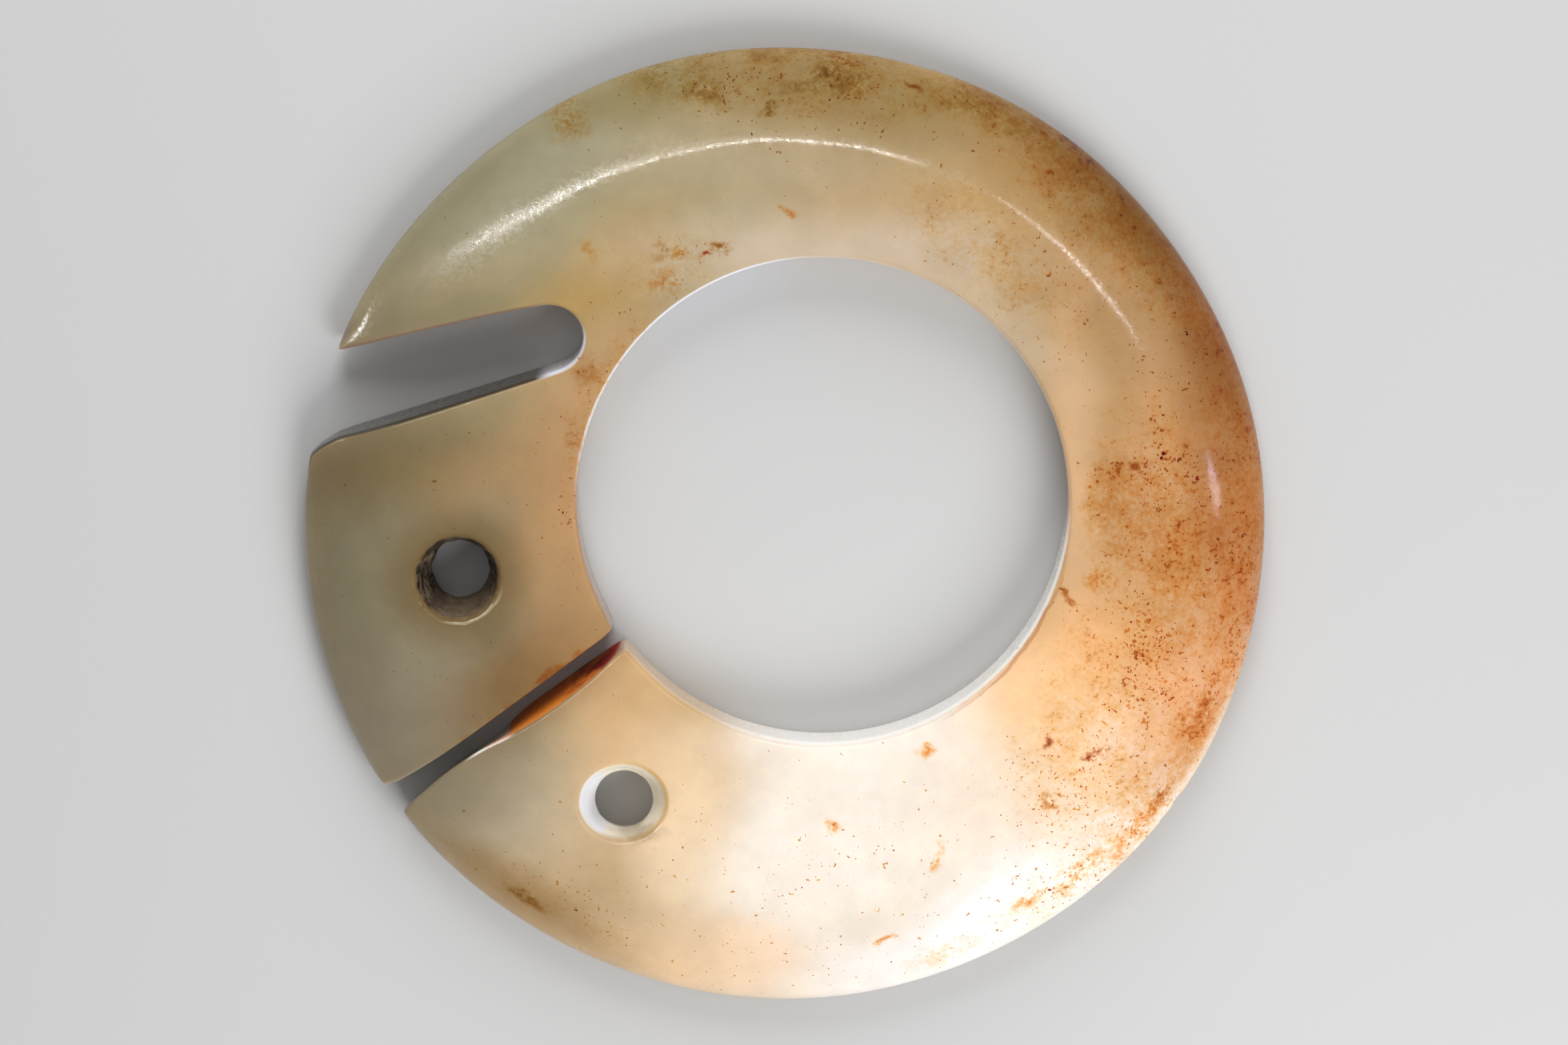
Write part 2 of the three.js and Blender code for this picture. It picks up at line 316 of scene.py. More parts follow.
def mouth_rows():
    """The upper lip from the rim inwards, the round inner end, and the lower lip out to its chips.
    The upper lip is a slope plus a sag that grows with the square of the run."""
    nose = from_aperture(MOUTH_BEARING, APERTURE_RADIUS + NECK_WALL + MOUTH_RADIUS)
    round_end = arc(nose, MOUTH_RADIUS, UPPER_LIP_ANGLE + 90, LOWER_LIP_ANGLE - 90)
    start, end = round_end[0], round_end[-1]
    run = np.arange(0, RING_RADIUS + start[0], PATH_STEP)[::-1]
    sag = UPPER_LIP_SAG * (run / (RING_RADIUS + start[0])) ** 2
    drop = run * math.tan(math.radians(UPPER_LIP_ANGLE)) + sag
    upper = np.stack((start[0] - run, start[1] - drop), axis=1)
    lip_run = end[0] + RING_RADIUS - LIP_CHIP_DEPTHS[0]
    lip_end = end[1] - lip_run * math.tan(math.radians(LOWER_LIP_ANGLE))
    lip_chips = zip(LIP_CHIP_DEPTHS, LIP_CHIP_DROPS)
    chips = [(depth - RING_RADIUS, lip_end - drop) for depth, drop in lip_chips]
    lower = polyline([end, *chips])
    mouth = np.vstack((upper, round_end, lower))
    return kept(stretch(mouth, LIP_EDGE, LIP_SOFTNESS))


def slit_rows():
    """The slit's head side from the rim inwards, and its tail side from the aperture outwards.
    The tail side swells a little by a bell curve, then curves away by a parabola near the rim.
    Its front edge stands back by a parabola, the scoop, and its back edge by a smooth step."""
    rim = float(rim_distance(SLIT_BEARING))
    along = np.arange(APERTURE_RADIUS - SIDE_OVERRUN, rim + SIDE_OVERRUN, PATH_STEP)
    to_tail = direction(SLIT_BEARING + 90)
    head = from_aperture(SLIT_BEARING, along[::-1]) + SLIT_HEAD_SIDE * to_tail
    corner = (rim - HEAD_CORNER_START, rim - HEAD_CORNER_END)
    softness = np.interp(along[::-1], corner, (SLIT_SOFTNESS, HEAD_CORNER_SOFTNESS))
    head_rows = stretch(head, SLIT_EDGE, softness)
    curved = np.clip(1 - (rim - along) / TAIL_CURVE_LENGTH, 0, 1)
    swell = TAIL_SWELL * np.exp(-((along - TAIL_SWELL_CENTRE) / TAIL_SWELL_LENGTH) ** 2)
    side = SLIT_TAIL_SIDE - swell + TAIL_CURVE_DEPTH * curved ** 2
    scoop = SCOOP_WIDTH * np.maximum(0, 1 - ((along - SCOOP_CENTRE) / SCOOP_HALF_LENGTH) ** 2)
    under = np.clip((along - TAIL_UNDERCUT_START) / TAIL_UNDERCUT_RAMP, 0, 1)
    under = under * np.clip((rim - along) / TAIL_UNDERCUT_RAMP, 0, 1)
    tail = from_aperture(SLIT_BEARING, along) + side[:, None] * to_tail
    tail_rows = stretch(tail, SLIT_EDGE, SLIT_SOFTNESS, scoop, TAIL_UNDERCUT * under)
    return kept(head_rows), kept(tail_rows)


def whole_outline():
    """The closed outline of the stone on the plan, walked with the stone on the left."""
    mouth = mouth_rows()
    head, tail = slit_rows()
    turns = [bearing_of(rows[end, :2]) for rows, end in ((tail, -1), (mouth, 0), (mouth, -1), (head, 0))]
    back_rim = np.linspace(turns[0], turns[1] + 360, int(RING_RADIUS * math.tau / PATH_STEP))
    head_rim = np.linspace(turns[2], turns[3], int(RING_RADIUS / PATH_STEP))
    inner_turns = bearing_of(head[-1, :2]), bearing_of(tail[0, :2]) - 360
    inner = np.linspace(*inner_turns, int(APERTURE_RADIUS * math.tau / PATH_STEP))
    bore = from_aperture(inner, np.full(len(inner), APERTURE_RADIUS))
    return np.vstack((
        stretch(chipped_rim(back_rim), RIM_EDGE, RIM_SOFTNESS),
        mouth,
        stretch(chipped_rim(head_rim), RIM_EDGE, RIM_SOFTNESS),
        head,
        stretch(bore, APERTURE_EDGE, APERTURE_SOFTNESS),
        tail,
    ))


def walked(rows):
    """How far along the closed path each row lies, and the length of the whole."""
    runs = np.hypot(*(np.roll(rows[:, :2], -1, axis=0) - rows[:, :2]).T)
    return np.concatenate(((0.0,), np.cumsum(runs)))


def resampled(rows, places, reached):
    """The closed path's rows at places along it, each column interpolated."""
    closed = np.vstack((rows, rows[:1]))
    return np.stack([np.interp(places, reached, column) for column in closed.T], axis=1)


def blurred(rows, spread):
    """Each column smoothed round the closed path by a bell curve of that spread: the column is
    split into its sine waves, and each is multiplied by a bell curve of its frequency."""
    frequency = np.fft.rfftfreq(len(rows), PATH_STEP)
    bell = np.exp(-2 * (math.pi * frequency * spread) ** 2)
    return np.fft.irfft(np.fft.rfft(rows, axis=0) * bell[:, None], len(rows), axis=0)


def turning(points):
    """Unit normals out of the stone, and the curvature, above zero where the stone is convex."""
    run = np.roll(points, -1, axis=0) - np.roll(points, 1, axis=0)
    length = np.hypot(*run.T)
    tangent = run / length[:, None]
    turn = np.roll(tangent, -1, axis=0) - np.roll(tangent, 1, axis=0)
    curvature = (tangent[:, 0] * turn[:, 1] - tangent[:, 1] * turn[:, 0]) / length
    return np.stack((tangent[:, 1], -tangent[:, 0]), axis=1), curvature


def eased_limit(limit, slope, reach):
    """The limit, drawn down towards its low places so that it never climbs faster than the slope."""
    eased = limit.copy()
    for step in range(1, int(reach / PATH_STEP)):
        climb = slope * step * PATH_STEP
        eased = np.minimum(eased, np.minimum(np.roll(limit, step), np.roll(limit, -step)) + climb)
    return eased


def stations():
    """The outline's stations: points, normals and edge sizes. The corners are rounded by mixing a
    sharp and a soft blur of the path, and the steps are shorter where it bends."""
    rows = whole_outline()
    reached = walked(rows)
    even = np.linspace(0, reached[-1], int(reached[-1] / PATH_STEP), endpoint=False)
    rows = resampled(rows, even, reached)
    sizes = blurred(rows[:, 2:], SIZE_SPREAD)
    softness = np.clip(sizes[:, [SOFTNESS]], 0, 1)
    sharp, soft = blurred(rows[:, :2], SHARP_SPREAD), blurred(rows[:, :2], SOFT_SPREAD)
    points = sharp + (soft - sharp) * softness
    normals, curvature = turning(points)
    radius = 1 / np.maximum(curvature, LEAST_CURVATURE)
    limit = eased_limit(EDGE_RADIUS_SHARE * radius, EDGE_GROWTH, EDGE_REACH)
    for column in (FRONT_WIDTH, BACK_WIDTH):
        sizes[:, column] = np.minimum(sizes[:, column], limit)
    rows = np.hstack((points, blurred(np.hstack((normals, sizes)), NORMAL_SPREAD)))
    bend = np.maximum(np.abs(curvature), LEAST_CURVATURE)
    step = np.clip(STEP_SHARE / bend, FINEST_STEP, WIDEST_STEP)
    step = eased_limit(step, STEP_GROWTH, STEP_REACH)
    reached = walked(rows)
    counted = np.concatenate(((0.0,), np.cumsum(np.diff(reached) / step)))
    places = np.interp(np.linspace(0, counted[-1], int(counted[-1]), endpoint=False), counted, reached)
    rows = resampled(rows, places, reached)
    normals = rows[:, 2:4] / np.hypot(*rows[:, 2:4].T)[:, None]
    return rows[:, :2], normals, rows[:, 4:]


def edge_band():
    """The stone's whole outer wall as a grid: rows from the front face round the front edge, down
    the wall and round the back edge to the back face, columns along the outline. Each edge is a
    quarter of an ellipse whose half axes are its width and depth."""
    points, normals, sizes = stations()
    front_width, front_depth, back_width, back_depth, _, front_shift, back_shift = sizes.T
    thickness = front_height(points) - back_height(points)
    fit = np.minimum(1, EDGE_THICKNESS_SHARE * thickness / (front_depth + back_depth))
    front_depth, back_depth = front_depth * fit, back_depth * fit
    rows = []
    for turn in np.linspace(0, math.pi / 2, FRONT_EDGE_ROWS):
        inset = front_shift + front_width * (1 - math.sin(turn))
        place = points - inset[:, None] * normals
        drop = front_depth * (1 - math.cos(turn))
        rows.append(np.column_stack((place, front_height(place) - drop)))
    back_rows = []
    for turn in np.linspace(math.pi / 2, 0, BACK_EDGE_ROWS):
        inset = back_shift + back_width * (1 - math.sin(turn))
        place = points - inset[:, None] * normals
        rise = back_depth * (1 - math.cos(turn))
        back_rows.append(np.column_stack((place, back_height(place) + rise)))
    top, bottom = rows[-1], back_rows[0]
    for share in np.linspace(0, 1, WALL_ROWS)[1:-1]:
        eased = share ** WALL_EASE
        rows.append(np.column_stack((
            top[:, :2] + (bottom[:, :2] - top[:, :2]) * eased,
            top[:, 2] + (bottom[:, 2] - top[:, 2]) * share,
        )))
    return np.array(rows + back_rows)


def around():
    """The directions of a hole's stations, clockwise, so that the stone is on the left."""
    return -360 * np.arange(HOLE_STATIONS) / HOLE_STATIONS


def raised(plan, height):
    """A ring of points on the plan, raised to a height."""
    return np.column_stack((plan, np.broadcast_to(height, len(plan))))


def bowed(start, control, end, share):
    """A parabola from one ring of points to another that leaves and arrives towards a third: the
    three are weighted by the squares of both shares and twice their product."""
    return (1 - share) ** 2 * start + 2 * share * (1 - share) * control + share ** 2 * end


def hole_wall(centre, front_centre, front_axes, waist_axes, waist_height, dents, crust):
    """A drilled hole as a grid: rows from the front face over a rounded lip, down a cone to the
    waist and out again to the back, columns clockwise round it. Lips and waist are parabolas,
    dents push the waist in by bell curves of the bearing, and the crust is a relief of crossed
    sines."""
    turns = around()
    rays = direction(turns)
    mouth = front_centre + rays * np.asarray(front_axes)
    waist_radius = 1.0
    for dent_bearing, dent_depth, dent_width in dents:
        gap = (turns - dent_bearing + 180) % 360 - 180
        waist_radius = waist_radius - dent_depth * np.exp(-(gap / dent_width) ** 2)
    waist = centre + rays * np.asarray(waist_axes) * np.reshape(waist_radius, (-1, 1))
    back = centre + rays * HOLE_BACK_RADIUS
    outward = rays * HOLE_LIP
    corner = raised(mouth, front_height(mouth))
    face_end = raised(mouth + outward, front_height(mouth + outward))
    narrow = raised(waist, waist_height)
    cone_start = corner + (narrow - corner) * FRONT_LIP_SHARE
    back_corner = raised(back, back_height(back))
    back_rim = back + rays * HOLE_BACK_LIP
    back_end = raised(back_rim, back_height(back_rim))
    back_start = back_corner + (narrow - back_corner) * BACK_LIP_SHARE
    rows = [bowed(face_end, corner, cone_start, share) for share in np.linspace(0, 1, FRONT_LIP_ROWS)]
    shares = np.linspace(0, WAIST_START_SHARE, CONE_ROWS)[1:]
    rows += [cone_start + (narrow - cone_start) * share for share in shares]
    before, after = rows[-1], narrow + (back_start - narrow) * WAIST_END_SHARE
    rows += [bowed(before, narrow, after, share) for share in np.linspace(0, 1, WAIST_ROWS)[1:]]
    rows += [(after + back_start) / 2, back_start]
    shares = np.linspace(0, 1, BACK_LIP_ROWS)[1:]
    rows += [bowed(back_start, back_corner, back_end, share) for share in shares]
    grid = np.array(rows)
    down = np.linspace(0, 1, len(grid))[:, None]
    swing = np.radians(turns)[None, :]
    relief = 0.0
    for weight, first, second in CRUST_WAVES:
        waves = [np.sin(turns_round * swing + turns_down * down + phase)
                 for turns_round, turns_down, phase in (first, second)]
        relief = relief + weight * waves[0] * waves[1]
    covered = np.clip((down - CRUST_START_SHARE) / CRUST_LENGTH_SHARE, 0, 1)
    strength = crust * np.sin(math.pi * covered)
    grid[:, :, :2] += (strength * relief)[:, :, None] * rays
    return grid


def front_lattice():
    """Points over the front face: rings at even shares of the bevel, closer on the crest, and at
    even shares of the face between the crest and the aperture."""
    bearings = 360 * np.arange(FRONT_BEARINGS) / FRONT_BEARINGS
    rim = rim_distance(bearings)
    crest_start, crest_end = CREST_INSET - CREST_OUTSIDE, CREST_INSET + CREST_INSIDE
    bevel = np.linspace(RIM_MARGIN, crest_start - CREST_GAP, BEVEL_RINGS)[:, None] * np.ones_like(rim)
    crest = np.linspace(crest_start, crest_end, CREST_RINGS)[:, None] * np.ones_like(rim)
    shares = np.linspace(0, 1, FACE_RINGS)[1:, None]
    face = crest_end + (rim - APERTURE_RADIUS - APERTURE_MARGIN - crest_end) * shares
    insets = np.vstack((bevel, crest, face))
    turned = bearings + np.where(np.arange(len(insets)) % 2, 180 / FRONT_BEARINGS, 0)[:, None]
    return from_aperture(turned, rim - insets).reshape(-1, 2)


def back_lattice():
    """Points over the back: rings at even shares of the way from the aperture to the rim."""
    bearings = 360 * np.arange(BACK_BEARINGS) / BACK_BEARINGS
    shares = np.linspace(0, 1, BACK_RINGS)[1:-1, None]
    distances = APERTURE_RADIUS + (rim_distance(bearings) - APERTURE_RADIUS) * shares
    return from_aperture(bearings + 0 * distances, distances).reshape(-1, 2)


def clear_of(points, border):
    """The points that lie clear of every border point."""
    keep = np.ones(len(points), dtype=bool)
    for start in range(0, len(points), POINTS_AT_ONCE):
        part = points[start:start + POINTS_AT_ONCE]
        nearest = ((part[:, None, :] - border[None, :, :]) ** 2).sum(axis=2).min(axis=1)
        keep[start:start + POINTS_AT_ONCE] = nearest > FACE_CLEARANCE ** 2
    return points[keep]


def ring_edges(start, count):
    """The edges of a closed loop of points that are numbered from start."""
    index = np.arange(count)
    return np.stack((index, (index + 1) % count), axis=1) + start


def outside_holes(points, holes):
    """The points that lie in none of the holes, each taken as the ellipse that its loop fills."""
    keep = np.ones(len(points), dtype=bool)
    for loop in holes:
        low, high = loop.min(axis=0), loop.max(axis=0)
        scaled = (points - (low + high) / 2) / ((high - low) / 2)
        keep &= (scaled ** 2).sum(axis=1) > 1
    return points[keep]


def knitted_face(loops, inner, height):
    """A face between closed loops, the first of them the outer one: a net of evenly shaped
    triangles over the loops and the inner points. Gives the inner points that were used, raised
    to the height, and triangles whose numbers count first the loops' points and then the inner
    ones. Seen from above, the triangles run counter-clockwise."""
    loops = [loop[:, :2] for loop in loops]
    border = np.vstack(loops)
    inner = outside_holes(clear_of(inner, border), loops[1:])
    flat = np.vstack((border, inner))
    starts = np.cumsum([0] + [len(loop) for loop in loops])
    edges = np.vstack([ring_edges(start, len(loop)) for start, loop in zip(starts, loops)])
    places = [Vector(place) for place in flat.tolist()]
    net = delaunay_2d_cdt(places, edges.tolist(), [], NET_INSIDE_ONLY, NET_TOLERANCE)
    _, _, net_triangles, net_sources, _, _ = net
    source = np.array([found[0] for found in net_sources])
    triangles = source[np.array(net_triangles)]
    owner = np.searchsorted(starts, triangles, side="right")
    in_hole = (owner[:, 0] == owner[:, 1]) & (owner[:, 0] == owner[:, 2])
    in_hole &= (owner[:, 0] > 1) & (owner[:, 0] < len(starts))
    triangles = triangles[~in_hole]
    a, b, c = (flat[triangles[:, corner]] for corner in range(3))
    turn = (b[:, 0] - a[:, 0]) * (c[:, 1] - a[:, 1]) - (b[:, 1] - a[:, 1]) * (c[:, 0] - a[:, 0])
    triangles[turn < 0] = triangles[turn < 0][:, ::-1]
    return np.column_stack((inner, height(inner))), triangles


def wall_quads(grid, start):
    """The quads of a wall grid whose points are numbered from start: rows run from the front to
    the back, and columns close round."""
    rows, count = grid.shape[:2]
    row = np.arange(rows - 1)[:, None] * count
    column = np.arange(count)[None, :]
    after = (column + 1) % count
    quads = np.stack((row + column, row + count + column, row + count + after, row + after), axis=-1)
    return quads.reshape(-1, 4) + start


def with_wall_share(grid, front_rows, back_rows):
    """The grid with a fourth value: how far round the edge a row lies, from 0 on a face to 1 on
    the wall."""
    row = np.arange(len(grid))
    share = np.minimum(1, np.minimum(row / (front_rows - 1), row[::-1] / (back_rows - 1)))
    column = np.broadcast_to(share[:, None, None], (*grid.shape[:2], 1))
    return np.concatenate((grid, column), axis=2)


def ring_body():
    """The whole stone as one closed mesh: three walls, and the front and back faces between them.
    Points have the wall share as their fourth value. Gives the points and the faces."""
    holes = (
        hole_wall(HEAD_HOLE_CENTRE, HEAD_HOLE_CENTRE, HEAD_HOLE_FRONT, HEAD_HOLE_WAIST,
                  HEAD_HOLE_WAIST_HEIGHT, HEAD_HOLE_DENTS, HEAD_HOLE_CRUST),
        hole_wall(TAIL_HOLE_CENTRE, TAIL_HOLE_FRONT_CENTRE, TAIL_HOLE_FRONT, TAIL_HOLE_WAIST,
                  TAIL_HOLE_WAIST_HEIGHT, (), TAIL_HOLE_CRUST),
    )
    walls = [with_wall_share(edge_band(), FRONT_EDGE_ROWS, BACK_EDGE_ROWS)]
    walls += [with_wall_share(hole, FRONT_LIP_ROWS, BACK_LIP_ROWS) for hole in holes]
    wall_starts = np.cumsum([0] + [wall.shape[0] * wall.shape[1] for wall in walls])
    points = [wall.reshape(-1, 4) for wall in walls]
    faces = [wall_quads(wall, start) for wall, start in zip(walls, wall_starts)]
    total = wall_starts[-1]
    sheets = ((0, front_lattice(), front_height, 1), (-1, back_lattice(), back_height, -1))
    for row, lattice, height, facing in sheets:
        loops = [wall[row] for wall in walls]
        inner, triangles = knitted_face(loops, lattice, height)
        numbers = [
            start + (wall.shape[0] - 1) * wall.shape[1] * (row != 0) + np.arange(wall.shape[1])
            for wall, start in zip(walls, wall_starts)
        ]
        numbers = np.concatenate(numbers + [total + np.arange(len(inner))])
        faces.append(numbers[triangles][:, ::facing])
        points.append(np.column_stack((inner, np.zeros(len(inner)))))
        total += len(inner)
    return np.vstack(points), faces


def compacted(points, faces):
    """The points that the faces use, and the faces numbered by them."""
    used = np.unique(np.concatenate([part.ravel() for part in faces]))
    fresh = np.full(len(points), -1)
    fresh[used] = np.arange(len(used))
    return points[used], [fresh[part] for part in faces]


def make_mesh(name, points, faces):
    """A smooth-shaded mesh object at the origin, from points in millimetres and their wall share."""
    mesh = bpy.data.meshes.new(name)
    places = (points[:, :3] * MM).tolist()
    mesh.from_pydata(places, [], [face for part in faces for face in part.tolist()])
    mesh.attributes.new("wall_share", "FLOAT", "POINT").data.foreach_set("value", points[:, 3])
    mesh.shade_smooth()
    piece = bpy.data.objects.new(name, mesh)
    bpy.context.scene.collection.objects.link(piece)
    return piece


# The stone's colours, as display values. Most are its own tones; the pale ones towards the lower
# right are partly painted light, and the halo is a painted glow.
CELADON = (166, 153, 118)
PALE_CELADON = (160, 154, 127)
RIM_CELADON = (138, 131, 98)
GOLDEN_CELADON = (182, 148, 88)
JAW_OLIVE = (130, 124, 94)
TAN = (187, 154, 112)
HONEY = (190, 158, 110)
# Painted glow: a pale band for light glowing through near the aperture's top
PAINTED_GLOW_HALO = (210, 193, 172)
PALE_HONEY = (184, 166, 136)
OCHRE = (146, 123, 76)
RIM_OCHRE = (144, 128, 82)
TOFFEE = (170, 132, 90)
BROWN = (119, 81, 21)
AMBER = (220, 180, 138)
CARAMEL = (202, 154, 108)
RUSSET = (180, 122, 72)
CHESTNUT = (152, 106, 58)
RIM_CHESTNUT = (136, 84, 38)
HAZEL = (162, 128, 82)
ORANGE = (226, 170, 128)
PEACH = (236, 184, 130)
PALE_PEACH = (250, 205, 154)
SALMON = (248, 221, 204)
CREAM = (250, 204, 156)
MILK = (245, 234, 221)
RIM_MILK = (245, 237, 229)
RIM_WHITE = (252, 249, 248)
BORE_MILK = (250, 240, 228)
PEACH_MILK = (246, 214, 180)
WARM_MILK = (238, 204, 164)
TAIL_CREAM = (221, 189, 146)
TAIL_HONEY = (204, 165, 118)
TAIL_TAN = (192, 165, 125)
TAIL_MILK = (238, 211, 174)
TAIL_GREY = (203, 184, 156)
TAIL_BROWN = (156, 128, 92)
HEAD_CELADON = (136, 126, 99)
HEAD_GREY = (146, 134, 112)
HEAD_BROWN = (128, 97, 58)
HEAD_TAN = (178, 138, 93)
HEAD_ROSE = (194, 156, 120)
LIP_OLIVE = (124, 107, 72)

# Where each colour lies: centre, half lengths, turn, softness of its border, strength, colour.
# Towards the lower right the zones are partly painted light, on the upper left rim partly painted shade.
ZONES = (
    ((-12.0, 21.5), (15.0, 8.0), 45, 0.5, 1.0, CELADON),
    ((-19.0, 27.6), (17.0, 4.8), 41, 0.6, 0.95, PALE_CELADON),
    # Partly painted shade: the upper left rim, darker where its bevel faces away from the light
    ((-24.6, 24.6), (15.0, 1.8), 45, 0.8, 0.6, RIM_CELADON),
    ((-25.0, 15.2), (9.5, 2.4), 10, 0.9, 0.7, JAW_OLIVE),
    ((-13.2, 10.5), (3.4, 8.0), -20, 0.7, 0.85, TAN),
    ((-13.5, 18.6), (8.0, 2.6), 38, 0.8, 0.8, GOLDEN_CELADON),
    ((1.0, 27.5), (11.0, 3.6), 2, 0.8, 0.7, PALE_HONEY),
    # Painted glow by the aperture's top and upper right
    ((3.0, 20.6), (12.0, 2.6), 0, 0.9, 0.8, PAINTED_GLOW_HALO),
    ((14.6, 16.0), (7.0, 2.4), -42, 0.9, 0.6, PAINTED_GLOW_HALO),
    ((4.2, 32.2), (15.5, 3.6), -8, 0.8, 0.9, OCHRE),
    ((-11.6, 31.9), (5.8, 1.7), 20, 0.8, 0.7, RIM_OCHRE),
    ((24.8, 16.0), (10.0, 4.2), -58, 0.7, 0.75, TOFFEE),
    ((25.2, 24.5), (14.5, 3.3), -46, 0.7, 0.95, BROWN),
    ((27.0, 1.4), (4.6, 9.5), 0, 0.8, 0.95, CARAMEL),
    ((21.2, 2.6), (1.8, 12.0), 3, 0.8, 0.9, AMBER),
    ((32.8, 2.6), (2.8, 14.0), 3, 0.7, 0.95, RUSSET),
    ((30.4, 11.5), (2.6, 6.0), 16, 0.8, 0.7, CHESTNUT),
    ((30.6, 14.2), (1.7, 6.5), 25, 0.7, 0.7, RIM_CHESTNUT),
    ((17.0, 26.5), (5.0, 2.6), -40, 0.8, 0.6, HAZEL),
    ((22.6, -9.6), (4.2, 5.4), -20, 0.8, 0.9, PEACH),
    ((29.4, -12.6), (4.0, 8.0), -27, 0.8, 0.9, ORANGE),
    ((19.0, -15.5), (7.5, 5.6), 42, 0.8, 0.9, CREAM),
    # Partly painted light: this and the milk and white zones below, pale where light falls from the
    # lower right
    ((6.5, -22.0), (17.0, 8.2), 16, 0.6, 1.0, MILK),
    ((5.5, -14.6), (12.0, 2.6), 6, 0.8, 0.9, BORE_MILK),
    ((18.0, -12.4), (3.8, 3.6), -30, 0.8, 0.85, PALE_PEACH),
    ((21.6, -19.4), (3.4, 3.8), 45, 0.8, 0.4, CREAM),
    ((15.2, -19.4), (5.0, 5.0), 30, 0.9, 0.3, PEACH_MILK),
    ((24.6, -23.2), (5.6, 2.2), 47, 0.8, 0.85, SALMON),
    ((5.0, -32.6), (11.0, 3.0), 0, 0.7, 0.9, RIM_MILK),
    ((16.6, -27.8), (9.0, 3.7), 34, 0.7, 0.95, RIM_WHITE),
    ((-7.2, -31.5), (7.0, 3.0), -14, 0.8, 0.9, WARM_MILK),
    ((-3.8, -30.6), (6.5, 2.3), -6, 0.5, 0.6, PEACH_MILK),
    ((-10.5, -16.5), (6.2, 4.6), -40, 0.8, 0.9, TAIL_CREAM),
    ((-12.2, -12.4), (3.6, 3.0), -40, 0.8, 0.7, TAIL_HONEY),
    ((-14.4, -25.0), (8.0, 4.0), -36, 0.8, 0.9, TAIL_TAN),
    ((-7.6, -21.8), (3.2, 6.6), 0, 0.8, 0.7, TAIL_MILK),
    ((-20.6, -19.6), (5.4, 5.0), 0, 0.8, 0.95, TAIL_GREY),
    ((-20.0, -26.4), (8.0, 1.6), -37, 0.9, 0.75, TAIL_BROWN),
    ((-26.0, -5.0), (10.5, 17.0), 5, 0.45, 1.0, HEAD_CELADON),
    ((-28.0, -14.0), (6.0, 6.0), 30, 0.8, 0.8, HEAD_GREY),
    ((-18.6, -10.2), (6.5, 3.2), 35, 0.8, 0.9, HEAD_BROWN),
    ((-28.6, 5.2), (7.4, 3.0), 16, 0.9, 0.95, LIP_OLIVE),
    ((-15.6, 1.0), (3.4, 10.0), 2, 0.9, 0.9, HEAD_TAN),
    ((-14.8, 3.0), (1.6, 5.5), 6, 0.8, 0.3, HEAD_ROSE),
    ((-21.6, 4.6), (4.0, 2.6), 10, 0.8, 0.4, HEAD_TAN),
)

# The burial stains' tints: what share of red, green and blue one layer lets through
OLIVE = (0.80, 0.68, 0.42)
GOLD = (0.92, 0.72, 0.44)
BROWN_STAIN = (0.78, 0.57, 0.36)
IRON_ORANGE = (0.95, 0.66, 0.40)
IRON_RED = (0.80, 0.46, 0.32)
RUST_BROWN = (0.68, 0.42, 0.30)
PLUM = (0.56, 0.40, 0.44)
SHADE_STAIN = (0.79, 0.68, 0.54)

